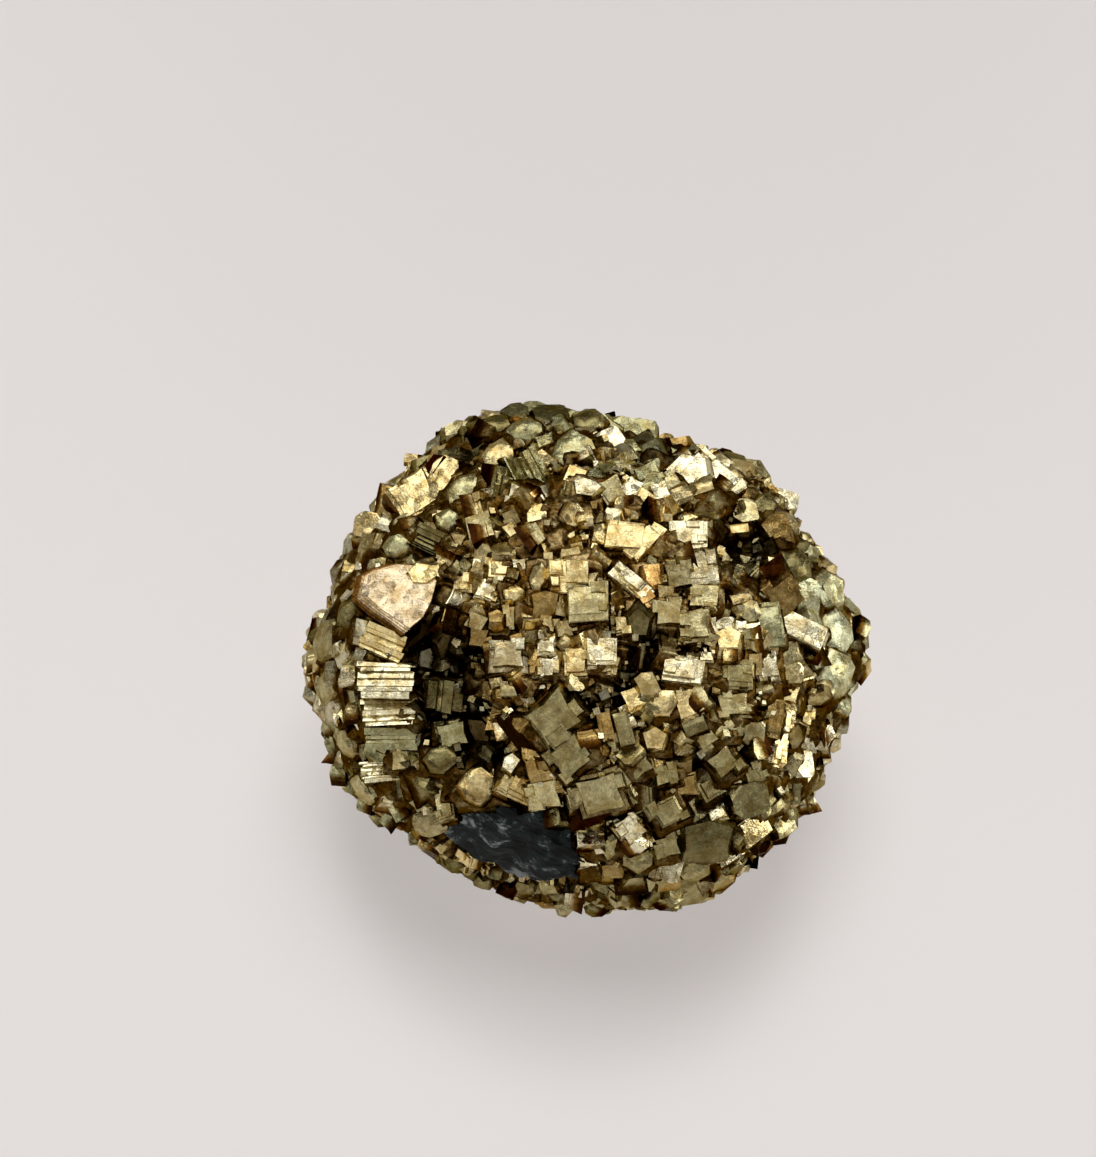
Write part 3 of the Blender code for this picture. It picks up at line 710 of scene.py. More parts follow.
    ("octahedron", -24.6, 5, 4.2, 5.2, 0, -0.75, 0.3, "dark"),
    ("ball", -24.4, -8.4, 3.8, 3.4, 0, -0.8, -0.2, "olive"),
    ("ball", -22.2, -13, 3.8, 3.8, 0, -0.6, -0.35, "olive"),
    ("cut", -18.6, -14.8, 3.8, 2.6, -15, -0.3, -0.3, "olive"),
    ("octahedron", -16, -13, 3.8, 3.8, 20, -0.1, -0.2, "dark"),
    ("cut", -15.6, -16.4, 3.2, 2.8, 25, -0.3, -0.4, "olive"),
    ("ball", -10.7, -12.5, 4.4, 4.2, 0, -0.05, 0.1, "gold"),
    ("plate", -7.4, -10.2, 2.4, 2.4, 0, 0, 0.4, "pale"),
    ("cube", -14.2, -14.4, 1.8, 3.4, 12, -0.3, 0, "olive"),
    ("ball", -12.6, -19.4, 2.4, 1.8, 0, -0.3, -0.3, "olive"),
    ("cut", -10.6, -20.6, 2.2, 1.6, 20, -0.2, -0.2, "pale"),
    ("ball", -8.8, -21.6, 2.2, 1.8, 0, -0.2, -0.4, "olive"),
    ("cut", -7, -22.6, 2, 1.8, -15, -0.1, -0.3, "brown"),
    ("ball", -5, -23.4, 2.4, 2, 0, 0, -0.4, "moss"),
    ("cube", -2.8, -23.6, 2.2, 1.8, 10, 0, -0.2, "olive"),
    ("ball", -0.8, -23.4, 2.4, 2.2, 0, 0, -0.3, "brown"),
    ("block", -6.6, -12.4, 3.4, 2.9, -25, 0.1, 0.3, "gold"),
    ("cube", -4.3, -13.4, 3.4, 3, 10, 0.05, -0.1, "olive"),
    ("ball", -14.5, -10, 3.6, 3.2, 0, -0.1, 0, "dark"),
    ("ruled", -13.9, -3.6, 3.2, 3.4, 84, -0.1, -0.1, "dark"),
    ("cube", -13.2, -7.4, 2.8, 2.4, 12, 0.1, -0.1, "green"),
    ("ruled", -15, 12.2, 6, 2.4, -25, 0, 0, "dark"),
    ("ball", -13.6, 13.9, 3.2, 3, 0, 0, 0.15, "green"),
    ("cube", -10.6, 13.4, 3, 3, 15, 0.05, 0.25, "olive"),
    ("ball", -19, 11.4, 3.6, 3.2, 0, -0.3, 0.2, "green"),
]

# how far the large crystals stand out of the dome, in mm: a share of their size, and limits
large = {"standsOut": 0.5, "mostOut": 2.0, "proudest": 3.3, "deepest": 3.2, "bright": (0.8, 1.14)}

# lesser crystals on each large block: size as a share of it, and how bright and rough beside it
children = {"count": 3, "size": (0.22, 0.5), "reach": 0.92, "bright": (0.85, 1.15), "rougher": 1.1}


def placeOnShow(across, up, stands):
    # the ground under crystals whose tops, standing out from it, the eye sees at these places. It is moved
    # four times by what is left over, as seen = aim + (place - aim) * distance / (distance - out)
    aim = np.array([camera["aimAcross"], camera["aimUp"]])
    wanted = stack(across, up)
    place = wanted.copy()
    for _ in range(4):
        grounds = showPoints(place[:, 0], place[:, 1])
        tops = grounds + domeNormals(grounds) * stands[:, None]
        flat = stack(tops @ acrossAxis, tops @ upAxis)
        seen = aim + (flat - aim) * (camera["distance"] / (camera["distance"] - tops @ outAxis))[:, None]
        place = place + 0.8 * (wanted - seen)
    return showPoints(place[:, 0], place[:, 1])


def sinkProud(grounds, normals, turns, halves, middles, most):
    # crystals whose furthest corner stands more than this above the ground are sunk by what is over
    reach = np.sum(np.abs(np.einsum("nij,ni->nj", turns, normals)) * halves, axis=1)
    over = np.sum((middles - grounds) * normals, axis=1) + reach - most
    return middles - normals * np.maximum(over, 0)[:, None]


def placeMain():
    # grounds, turns, half sizes and middles of the large crystals
    across, up, width, height, spin, faceAcross, faceUp = np.array([row[1:8] for row in mainCrystals]).T
    deep = 0.5 * (width + height)
    halves = 0.5 * stack(width, height, np.minimum(deep, large["deepest"]))
    stands = np.minimum(deep * large["standsOut"], large["mostOut"])
    grounds = placeOnShow(across, up, stands)
    normals = domeNormals(grounds)
    faceOut = np.sqrt(np.maximum(1 - faceAcross ** 2 - faceUp ** 2, 0.02))
    mains = unit(onShowSide(faceAcross, faceUp, faceOut))
    turns = turnsFor(mains, np.radians(spin))
    middles = grounds + normals * stands[:, None] - mains * halves[:, 2:]
    return grounds, turns, halves, sinkProud(grounds, normals, turns, halves, middles, large["proudest"])


mainGrounds, mainTurns, mainHalves, mainMiddles = placeMain()
standing = [(mainGrounds, mainTurns, mainHalves, mainMiddles)]  # what the skin has to climb


def growLarge():
    parts = []
    kinds = np.array([row[0] for row in mainCrystals])
    colours = np.array([linear(tones[row[8]][0]) for row in mainCrystals])
    colours = colours * rng.uniform(*large["bright"], (len(colours), 1))
    polish = np.array([tones[row[8]][1] for row in mainCrystals])
    addKinds(parts, kinds, mainMiddles, mainTurns, mainHalves, colours, polish)
    # smaller crystals in parallel growth on each block, over an edge or a corner
    blocks = np.isin(kinds, ["cube", "block"])
    count = blocks.sum()
    middles, turns, halves = mainMiddles[blocks], mainTurns[blocks], mainHalves[blocks]
    for child in range(children["count"]):
        size = halves * rng.uniform(*children["size"], (count, 3))
        side = rng.choice([-1.0, 1.0], (count, 3))
        along = rng.integers(2, size=count)
        side[np.arange(count), along] *= rng.uniform(0.2, 1, count)
        spot = overCorner(middles, turns, halves, size, children["reach"], side)
        tint = colours[blocks] * rng.uniform(*children["bright"], (count, 1))
        form = forms["cube"][child % len(forms["cube"])]
        addCrystals(parts, form, spot, turns, size, tint, polish[blocks] * children["rougher"])
    return parts


def spreadDirections(spacing, jitter=0.3):
    # an even spiral over the sphere, each turn a golden angle on, with every point nudged at random
    radius = float(np.mean(dome["radii"]))
    count = int(4 * math.pi * radius ** 2 / spacing ** 2)
    i = np.arange(count) + 0.5
    z = 1 - 2 * i / count
    turn = math.pi * (1 + 5 ** 0.5) * i
    flat = np.sqrt(1 - z * z)
    directions = stack(flat * np.cos(turn), flat * np.sin(turn), z)
    return unit(directions + rng.normal(0, jitter * spacing / radius, (count, 3)))


slate = {
    "place": (-5.6, -15.5),
    "radii": np.array([9.6, 6.6, 6.0]),  # along its layers, across them, and into the dome
    "turn": math.radians(-30),
    "sunk": 3.0,
    "margin": 0.5,
    "layer": 0.55,  # from one cleavage step to the next
}


def slatePlace():
    ground = showPoints(np.array([slate["place"][0]]), np.array([slate["place"][1]]))
    normal = domeNormals(ground)
    turn = turnsFor(normal, np.array([slate["turn"]]))[0]
    return (ground - normal * slate["sunk"])[0], turn


slateMiddle, slateTurn = slatePlace()


def slateReach(points):
    # how many times the slate's own radii away a point lies, with a ragged edge
    ragged = 0.26 * latticeNoise(points, 3.2, 35) + 0.10 * latticeNoise(points, 1.1, 36)
    local = (points - slateMiddle) @ slateTurn
    return np.linalg.norm(local / (slate["radii"] + slate["margin"]), axis=-1) + ragged


# Dark places of the showy side, where little light gets in: crystals there are fewer and lower, and their
# colours get painted shade: across, up, radius
darkPlaces = [
    (-15.2, 1.6, 2.9),  # the cave, and down from it
    (-14.0, -2.0, 3.0),
    (-12.6, -5.6, 3.2),
    (-10.6, 0.4, 1.6),
    (-10.8, -7.8, 1.6),
    (-26.0, 5.2, 2.2),
    (-21.0, -10.0, 1.4),
    (15.8, 11.4, 3.1),  # the hole in the upper right
    (13.4, 12.0, 1.3),
    (5.8, 2.6, 1.2),  # gully under the crown
    (4.6, -0.6, 1.5),
    (2.2, -2.6, 1.5),
    (-0.6, -3.0, 1.3),
    (-8.4, -9.0, 2.0),
    (5.7, 20.7, 1.5),  # slots at the back rim
    (8.7, 19.8, 1.4),
    (-11.8, 19.6, 1.2),
    (19.6, 9.4, 1.8),
    (18.4, -7.2, 1.2),
    (6.6, -13.2, 1.4),
    (10.2, -9.2, 1.3),
    (12.4, -12.8, 1.3),
]


def flatOnShow(points):
    return points - outAxis * (points @ outAxis)[:, None]


def hollowness(points):
    # 1 in the middle of a dark place, falling to 0 outside it
    flat = flatOnShow(points)
    total = np.zeros(len(points))
    for across, up, radius in darkPlaces:
        gap = np.sum((flat - onShowSide(across, up)) ** 2, axis=-1)
        total += np.exp(-gap / radius ** 2)
    return np.clip(1.2 * total, 0, 1) * (points @ outAxis > 0)


def pickTones(points, stray):
    # the tone of the nearest zone, measured in the zone's own radii, or any tone for a stray share of them
    places = np.array([onShowSide(across, up) for across, up, _, _ in toneZones])
    sizes = np.array([radius for _, _, radius, _ in toneZones])
    far = np.linalg.norm(flatOnShow(points)[:, None] - places[None], axis=-1) / sizes
    far += rng.uniform(0, 0.5, far.shape)
    names = np.array([zone[3] for zone in toneZones])[np.argmin(far, axis=1)]
    names[points @ outAxis < -4] = "olive"
    anyTone = rng.choice(["pale", "gold", "olive", "moss", "brown"], len(points))
    return np.where(rng.random(len(points)) < stray, anyTone, names)


def toneArrays(names, spread):
    # a colour and a roughness for each crystal, both a little uneven
    colours = np.array([linear(tones[name][0]) for name in names])
    colours = colours * rng.uniform(1 - spread, 1 + 0.5 * spread, (len(names), 1))
    polish = np.array([tones[name][1] for name in names]) * rng.uniform(0.85, 1.2, len(names))
    return colours, polish


druse = {
    "seedSpacing": 6.5,
    "fromLarge": 4.2,  # between a large crystal and bare ground's own seeds
    "seedLean": 0.22,
    "seedSpin": 0.8,
    "pitch": (1.3, 2.0),  # from one crystal to the next
    "crown": (-2.0, 9.0, 18.0),  # across, up and out
    "crownRadius": 10,
    "crownPitch": (1.5, 2.0),
    "grid": 5,  # crystals out from a seed
    "jitter": 0.07,
    "fill": (0.98, 1.24),  # width as a share of the pitch
    "depth": (1.5, 2.1),
    "foot": 0.6,  # how far under the base's level one may have its middle
    "standsOut": 0.75,
    "standsSpread": 0.38,
    "proudest": 2.5,
    "upward": 0.42,  # the main faces look up more than the ground does
    "alike": 0.6,  # how much they look the way of their seed
    "lean": 0.42,
    "spin": 0.17,
    "crowded": 0.62,  # of the pitch: nearer than this, one of two crystals goes
    "clear": 0.68,  # of a large crystal's half width, kept free round its middle
    "slateClear": 1.06,
    "kinds": {"cube": 0.56, "roofed": 0.16, "cut": 0.13, "block": 0.02, "octahedron": 0.04, "ball": 0.09},
    "rimKinds": {"ball": 0.7, "cut": 0.2, "octahedron": 0.1},  # towards the outline the crystals are rounder
    "rim": 0.35,  # at the outline the ground faces the eye by less than this, as a cosine
    "rimShare": 0.65,
    "rimSwell": (1.1, 1.6),
    "rimProud": 0.3,
    "fewerInHollows": 0.5,
    "hollowSink": 0.5,
    "hollowDark": 0.82,
    "unevenTone": 0.34,
    "stray": 0.35,  # share of any tone
    "twinShare": 0.45,
    "twinSize": (0.35, 0.7),
}


def pickFrom(shares, count):
    return rng.choice(list(shares), count, p=list(shares.values()))


def druseSeeds():
    # every large crystal seeds its neighbourhood; bare ground far from them gets seeds of its own
    pitch = np.clip(0.8 * mainHalves[:, :2].sum(axis=1) + 0.2, *druse["pitch"])
    crown = np.linalg.norm(mainGrounds - onShowSide(*druse["crown"]), axis=1) < druse["crownRadius"]
    pitch[crown] = np.minimum(pitch[crown], rng.uniform(*druse["crownPitch"], crown.sum()))
    extra = domePoints(spreadDirections(druse["seedSpacing"]))
    gap = np.linalg.norm(extra[:, None] - mainGrounds[None], axis=-1)
    extra = extra[(gap > druse["fromLarge"]).all(axis=1)]
    uneven = rng.normal(0, druse["seedLean"], extra.shape)
    mains = unit(domeNormals(extra) + uneven + druse["upward"] * upAxis)
    turns = turnsFor(mains, rng.uniform(-druse["seedSpin"], druse["seedSpin"], len(extra)))
    extraPitch = rng.uniform(*druse["pitch"], len(extra))
    return (np.concatenate([mainGrounds, extra]), np.concatenate([mainTurns, turns]),
            np.concatenate([pitch, extraPitch]))


def turnLike(frames, normals, share, lean, spin):
    # the main face looks between the seed's way and the ground's, unevenly, and the rest turns with it
    ground = unit(normals + druse["upward"] * upAxis)
    mains = unit(share * frames[:, :, 2] + (1 - share) * ground + rng.normal(0, lean, normals.shape))
    return mains, retip(frames, mains, rng.normal(0, spin, len(normals)))


def growDruse():
    # squares of a grid laid on the dome round each seed, each kept by the seed nearest to it
    seeds, frames, pitch = druseSeeds()
    row = np.arange(-druse["grid"], druse["grid"] + 1)
    i, j = np.meshgrid(row, row, indexing="ij")
    steps = stack(i.ravel(), j.ravel())[None] + rng.normal(0, druse["jitter"], (len(seeds), i.size, 2))
    steps = steps * pitch[:, None, None]
    spots = seeds[:, None] + steps[..., :1] * frames[:, None, :, 0] + steps[..., 1:] * frames[:, None, :, 1]
    owner = np.repeat(np.arange(len(seeds)), i.size)
    grounds = domePoints(unit(spots.reshape(-1, 3)))
    nearest = np.argmin(np.linalg.norm(grounds[:, None] - seeds[None], axis=-1), axis=1)
    keep = (nearest == owner) & (grounds[:, 2] > -dome["middle"][2] - druse["foot"])
    keep &= slateReach(grounds) > druse["slateClear"]
    gap = np.linalg.norm(grounds[keep][:, None] - mainGrounds[None], axis=-1)
    keep[keep] = (gap > druse["clear"] * mainHalves[:, :2].mean(axis=1)[None]).all(axis=1)
    keep[keep] = rng.random(keep.sum()) > druse["fewerInHollows"] * hollowness(grounds[keep])
    grounds, owner = grounds[keep], owner[keep]
    # where two neighbourhoods meet, the later of two crowded crystals goes
    near = np.linalg.norm(grounds[:, None] - grounds[None], axis=-1) < druse["crowded"] * pitch[owner][None]
    grounds, owner = (array[~np.tril(near, -1).any(axis=1)] for array in (grounds, owner))
    normals = domeNormals(grounds)
    count = len(grounds)
    mains, turns = turnLike(frames[owner], normals, druse["alike"], druse["lean"], druse["spin"])
    widths = pitch[owner][:, None] * rng.uniform(*druse["fill"], (count, 3))
    widths[:, 2] = rng.uniform(*druse["depth"], count)
    halves = 0.5 * widths
    rim = np.abs(normals @ outAxis) < druse["rim"]
    kinds = pickFrom(druse["kinds"], count)
    lumps = rim & (rng.random(count) < druse["rimShare"])
    kinds = np.where(lumps, pickFrom(druse["rimKinds"], count), kinds)
    halves[lumps] *= rng.uniform(*druse["rimSwell"], (lumps.sum(), 1))
    hollow = hollowness(grounds)
    stands = druse["standsOut"] + rng.normal(0, druse["standsSpread"], count)
    stands = stands - druse["hollowSink"] * hollow + druse["rimProud"] * lumps
    middles = grounds + normals * stands[:, None] - mains * halves[:, 2:3]
    middles = sinkProud(grounds, normals, turns, halves, middles, druse["proudest"])
    colours, polish = toneArrays(pickTones(grounds, druse["stray"]), druse["unevenTone"])
    # painted shade: colours darken towards the middle of each dark place
    colours = colours * (1 - druse["hollowDark"] * hollow)[:, None]
    parts = []
    addKinds(parts, kinds, middles, turns, halves, colours, polish)
    # a lesser crystal in parallel growth on a corner of many of them
    use = (rng.random(count) < druse["twinShare"]) & np.isin(kinds, ["cube", "block", "roofed"])
    size = halves[use] * rng.uniform(*druse["twinSize"], (use.sum(), 3))
    side = rng.choice([-1, 1], (use.sum(), 3))
    spot = overCorner(middles[use], turns[use], halves[use], size, 1.0, side)
    addCrystals(parts, forms["small"][0], spot, turns[use], size, colours[use], polish[use])
    standing.append((grounds, turns, halves, middles))
    return parts


skin = {
    "valley": -0.85,
    "settle": 1.0,  # how far under a crystal's top the skin meets its sides
    "slope": 1.9,
    "blend": 0.12,
    "reach": 1.6,  # how far out from a crystal it is felt
    "leastCosine": 0.5,  # between a crystal's axis and the way out from the middle
    "highest": (2.2, 2.5),  # of the climb to a crystal's top, and of the skin
    "sides": 0.9,  # of a crystal's half width
    "farthest": 9.0,
    "rings": (214, 460),
    "roughness": 0.26,
}


def skinRise(directions):
    # the skin that joins the crystals, as a height above the dome along each direction: a smooth maximum,
    # blend * log(sum(exp(h / blend))), of the valley and, for each crystal, of h = height of its top face
    # - settle - slope * gap, gap being how far the ground lies outside its four sides. Also the least gap.
    grounds = domePoints(directions)
    total = np.full(len(grounds), math.exp(skin["valley"] / skin["blend"]))
    least = np.full(len(grounds), skin["farthest"])
    for place, turn, half, middle in zip(*(np.concatenate(arrays) for arrays in zip(*standing))):
        felt = 1.5 * half[:2].max() + skin["reach"]
        near = np.flatnonzero(np.sum((grounds - place) ** 2, axis=-1) < felt ** 2)
        local = (grounds[near] - middle) @ turn
        outside = np.abs(local[:, :2]) - skin["sides"] * half[:2]
        gap = np.linalg.norm(np.maximum(outside, 0), axis=-1)
        climb = (half[2] - local[:, 2]) / np.maximum(directions[near] @ turn[:, 2], skin["leastCosine"])
        height = np.minimum(climb, skin["highest"][0]) - skin["settle"] - skin["slope"] * gap
        total[near] += np.exp(np.minimum(height, skin["highest"][1]) / skin["blend"])
        least[near] = np.minimum(least[near], gap)
    return skin["blend"] * np.log(total), least


# Small crystals on the skin: grains that fill the gaps, and brighter chips that stand out of it. How far
# apart, how wide and how far out in mm, lean, share kept, tones, brightness, and clearance from larger ones.
# the gap grains' brightness of 0.85 is tarnish and painted shade between the larger crystals
gapFill = {"spacing": 0.7, "size": (0.45, 1.0), "stands": (0.0, 0.45), "lean": 0.3, "share": 0.9,
           "tones": {"gold": 0.35, "olive": 0.4, "brown": 0.25}, "bright": 0.85, "clear": 0.1}
chips = {"spacing": 1.0, "size": (0.35, 0.9), "stands": (0.3, 1.0), "lean": 0.4, "share": 0.72,
         "tones": {"pale": 0.7, "gold": 0.3}, "bright": 1.0, "clear": 0.0}
grains = {"alike": 0.5, "spin": 0.12, "uneven": (0.75, 1.2), "foot": 0.3, "unevenTone": 0.3,
          "fewerInHollows": 0.4, "hollowDark": 0.7}


def growFine(fine):
    # evenly spread, turned like the seed nearest to each, and kept where the larger crystals leave it clear
    grounds = domePoints(spreadDirections(fine["spacing"]))
    keep = (grounds[:, 2] > -dome["middle"][2] - grains["foot"]) & (slateReach(grounds) > 1.0)
    keep &= rng.random(len(grounds)) < fine["share"] * (1 - grains["fewerInHollows"] * hollowness(grounds))
    keep[keep] = skinRise(unit(grounds[keep]))[1] > fine["clear"]
    grounds = grounds[keep]
    normals = domeNormals(grounds)
    count = len(grounds)
    seeds, frames, _ = druseSeeds()
    owner = np.argmin(np.linalg.norm(grounds[:, None] - seeds[None], axis=-1), axis=1)
    mains, turns = turnLike(frames[owner], normals, grains["alike"], fine["lean"], grains["spin"])
    widths = rng.uniform(*fine["size"], (count, 1)) * rng.uniform(*grains["uneven"], (count, 3))
    height = skinRise(unit(grounds))[0] + rng.uniform(*fine["stands"], count)
    middles = grounds + normals * height[:, None] - mains * 0.5 * widths[:, 2:3]
    colours, polish = toneArrays(pickFrom(fine["tones"], count), grains["unevenTone"])
    # painted shade: the grains darken in the dark places
    colours = colours * (fine["bright"] * (1 - grains["hollowDark"] * hollowness(grounds)))[:, None]
    parts = []
    addKinds(parts, np.full(count, "small"), middles, turns, 0.5 * widths, colours, polish)
    return parts


def closedGrid(rows, columns):
    # quads of a grid of rings, with a fan of triangles at each pole
    quads = bands(rows - 1, columns)[:, [0, 3, 2, 1]]
    ends = np.arange(columns)
    last = (rows - 2) * columns
    poles = (rows - 1) * columns
    top = stack(ends, (ends + 1) % columns, np.full(columns, poles))
    bottom = stack(last + (ends + 1) % columns, last + ends, np.full(columns, poles + 1))
    corners = np.concatenate([quads.ravel(), top.ravel(), bottom.ravel()])
    return corners, np.concatenate([np.full(len(quads), 4), np.full(2 * columns, 3)])


def ringDirections(rows, columns, crowding=0.0):
    # directions of a grid of heights and turns round the third axis, then its two poles; crowding draws the
    # rings towards the first pole: height = x - crowding * sin(x), x from 0 to pi
    even = np.linspace(0, math.pi, rows + 1)[1:-1]
    around = np.linspace(0, 2 * math.pi, columns, endpoint=False)
    height, turn = np.meshgrid(even - crowding * np.sin(even), around, indexing="ij")
    ring = stack(np.sin(height) * np.cos(turn), np.sin(height) * np.sin(turn), np.cos(height))
    return np.concatenate([ring.reshape(-1, 3), [[0, 0, 1], [0, 0, -1]]])


def coreSurface():
    # the skin between the crystals, on a grid of rings round the axis of the showy side
    directions = ringDirections(*skin["rings"], 0.35) @ np.stack([acrossAxis, upAxis, outAxis])
    rise, gap = skinRise(directions)
    points = domePoints(directions)
    rough = 0.16 * latticeNoise(points, 1.3, 5) + 0.12 * latticeNoise(points, 0.6, 6)
    points = points + directions * (rise + rough)[:, None]
    corners, counts = closedGrid(*skin["rings"])
    crown = np.exp(-np.sum((points - onShowSide(2.0, 8.0, 18.0)) ** 2, axis=-1) / 11.0 ** 2)[:, None]
    tone = (0.6 - 0.1 * crown) * linear(tones["olive"][0]) + 0.35 * crown * linear(tones["amber"][0])
    return {
        "points": points,
        "corners": corners,
        "counts": counts,
        "grain": points,
        # the skin's rise feeds the same tarnish and painted shade: darker farther from the crystals and in
        # its dips
        "rise": 0.5 - 0.5 * gap + 0.6 * rough + 0.15 * crown[:, 0],
        # painted shade: the skin darkens in the dark places
        "tone": tone * (1 - 0.8 * hollowness(points))[:, None],
        "polish": np.full(len(points), skin["roughness"]),
        "stripe": points[corners, 0],
    }


def slateSurface():
    # an ellipsoid of turns and heights, stepped into cleavage layers, broken by noise stretched along them
    rings = (150, 300)
    directions = ringDirections(*rings)
    points = directions * slate["radii"]
    stretched = points * np.array([0.22, 1.0, 0.6])
    layer = points[:, 1] + 0.5 * latticeNoise(stretched, 1.5, 31)
    steps = np.abs((layer / slate["layer"]) % 1 - 0.5) * 2
    rough = 1.3 * latticeNoise(points, 3.0, 32) + 0.45 * latticeNoise(stretched, 0.7, 33) + 0.34 * steps
    rough += 0.3 * latticeNoise(points, 0.8, 37) + 0.10 * latticeNoise(stretched, 0.2, 34)
    points += directions * (rough - 0.25)[:, None]
    corners, counts = closedGrid(*rings)
    return {
        "points": slateMiddle + points @ slateTurn.T,
        "corners": corners,
        "counts": counts,
        "grain": points,
        "rise": rough,
        "tone": np.broadcast_to(linear("20262a"), (len(points), 3)),
        "polish": np.full(len(points), 0.6),
        "stripe": layer[corners],
    }


# Materials


def addNode(tree, kind, **settings):
    # adds a shader node. A setting is a property, or else an input, by name or, as in0 and in1, by number,
    # which takes a value, a socket to link, or a node, whose first output in use is linked. Stops are those
    # of a colour ramp, as place and sRGB hex.
    node = tree.nodes.new("ShaderNode" + kind)
    for key, value in settings.items():
        if key == "stops":
            stops = node.color_ramp.elements
            for _ in value[2:]:
                stops.new(0.0)
            for stop, (place, colour) in reversed(list(zip(stops, value))):
                stop.position, stop.color = place, (*linear(colour), 1)
        elif hasattr(node, key):
            setattr(node, key, value)
        else:
            socket = node.inputs[int(key[2:]) if key.startswith("in") else key.replace("_", " ")]
            if isinstance(value, bpy.types.Node):
                value = next(output for output in value.outputs if output.enabled)
            if isinstance(value, bpy.types.NodeSocket):
                tree.links.new(value, socket)
            else:
                socket.default_value = value
    return node


def newMaterial(name):
    material = bpy.data.materials.new(name)
    material.use_nodes = True
    return material, material.node_tree, material.node_tree.nodes["Principled BSDF"].inputs


def brassyMaterial():
    # Iron sulphide, grown in a vein and never worked: a true metal to the eye, pale brass yellow on fresh
    # faces, finely ruled by growth lines, with brown tarnish and painted shade lying deep between the
    # crystals.
    material, tree, shader = newMaterial("grown iron sulphide")
    tone, grain, rise, polish, stripe = [addNode(tree, "Attribute", attribute_name=name) for name in
                                         ("tone", "grain", "rise", "polish", "stripe")]
    grain = grain.outputs["Vector"]
    # blotches 0.4 mm across, and growth hillocks half that size
    blotch = addNode(tree, "TexNoise", Vector=grain, Scale=2.6, Detail=5.0, Roughness=0.68)
    hillock = addNode(tree, "TexNoise", Vector=grain, Scale=5.0, Detail=3.0, Roughness=0.5)
    # growth lines about 0.15 mm apart, of uneven width
    lines = addNode(tree, "TexNoise", noise_dimensions="1D", W=stripe.outputs["Fac"], Scale=5.0, Detail=3.0,
                    Roughness=0.7)
    # tarnish and painted shade by depth under each crystal's top, with an uneven edge: darker brown lower
    # down
    uneven = addNode(tree, "Math", operation="MULTIPLY_ADD", in0=blotch, in1=0.4, in2=rise.outputs["Fac"])
    deep = addNode(tree, "ValToRGB", Fac=uneven, stops=[(0.40, "44291a"), (0.72, "8a6c3c"), (1.0, "ffffff")])
    spread = addNode(tree, "MapRange", Value=blotch, From_Min=0.3, From_Max=0.7, To_Min=0.66, To_Max=1.26)
    # patches 1.5 mm across where a thin brown film has started
    patch = addNode(tree, "TexNoise", Vector=grain, Scale=0.7, Detail=3.0, Roughness=0.6)
    film = addNode(tree, "ValToRGB", Fac=patch, stops=[(0.38, "d2c5ac"), (0.58, "ffffff")])
    colour = tone
    for layer in (deep, spread, film):
        colour = addNode(tree, "Mix", data_type="RGBA", blend_type="MULTIPLY", Factor=1.0, A=colour, B=layer)
    rough = addNode(tree, "MapRange", Value=blotch, From_Min=0.3, From_Max=0.7, To_Min=-0.07, To_Max=0.10)
    roughSum = addNode(tree, "Math", operation="ADD", in0=polish.outputs["Fac"], in1=rough)
    # every face is a mosaic: cells 0.6 mm across, each turned a little from the next
    cells = addNode(tree, "TexVoronoi", Vector=grain, Scale=1.5).outputs["Color"]
    tip = addNode(tree, "VectorMath", operation="MULTIPLY_ADD", in0=cells, in1=(0.21, 0.21, 0.21),
                  in2=(-0.105, -0.105, -0.105))
    face = addNode(tree, "NewGeometry").outputs["Normal"]
    tipped = addNode(tree, "VectorMath", operation="ADD", in0=face, in1=tip)
    level = addNode(tree, "VectorMath", operation="NORMALIZE", in0=tipped)
    lineBump = addNode(tree, "Bump", Height=lines, Normal=level, Strength=0.7, Distance=0.016 * mm)
    bump = addNode(tree, "Bump", Height=hillock, Normal=lineBump, Strength=0.9, Distance=0.036 * mm)
    tree.links.new(colour.outputs["Result"], shader["Base Color"])
    tree.links.new(roughSum.outputs["Value"], shader["Roughness"])
    tree.links.new(bump.outputs["Normal"], shader["Normal"])
    shader["Metallic"].default_value = 1.0
    shader["Specular Tint"].default_value = (*linear("b5ad94"), 1)
    return material


def slateMaterial():
    # Slate, split by hand: blue-black, dull, with pale streaks along its layers, partly a painted silky
    # sheen where its mica layers would catch the light
    material, tree, shader = newMaterial("split slate")
    grain = addNode(tree, "Attribute", attribute_name="grain").outputs["Vector"]
    stretch = addNode(tree, "Mapping", Vector=grain, Rotation=(0, 0, -0.4), Scale=(0.6, 1.1, 1.0))
    streak = addNode(tree, "TexNoise", Vector=stretch, Scale=0.8, Detail=7.0, Roughness=0.75, Distortion=0.3)
    # patches 4 mm across where the split ran along one layer
    patch = addNode(tree, "TexNoise", Vector=grain, Scale=0.26, Detail=2.0)
    both = addNode(tree, "Math", operation="MULTIPLY_ADD", in0=patch, in1=0.6, in2=streak)
    # the palest stop is partly the slate's lighter layers and partly painted sheen
    ramp = addNode(tree, "ValToRGB", Fac=both, stops=[(0.70, "080d0c"), (0.83, "1f2826"), (0.94, "868b8a")])
    bump = addNode(tree, "Bump", Height=streak, Strength=0.7, Distance=0.1 * mm)
    tree.links.new(ramp.outputs["Color"], shader["Base Color"])
    tree.links.new(bump.outputs["Normal"], shader["Normal"])
    shader["Roughness"].default_value = 0.6
    shader["Specular IOR Level"].default_value = 0.3
    return material


def floorMaterial():
    # a coated white board: even and pale, with a faint gloss
    material, _, shader = newMaterial("coated white board")
    shader["Base Color"].default_value = (*linear("e6e2e1"), 1)
    shader["Roughness"].default_value = 0.35
    return material


brassy = brassyMaterial()

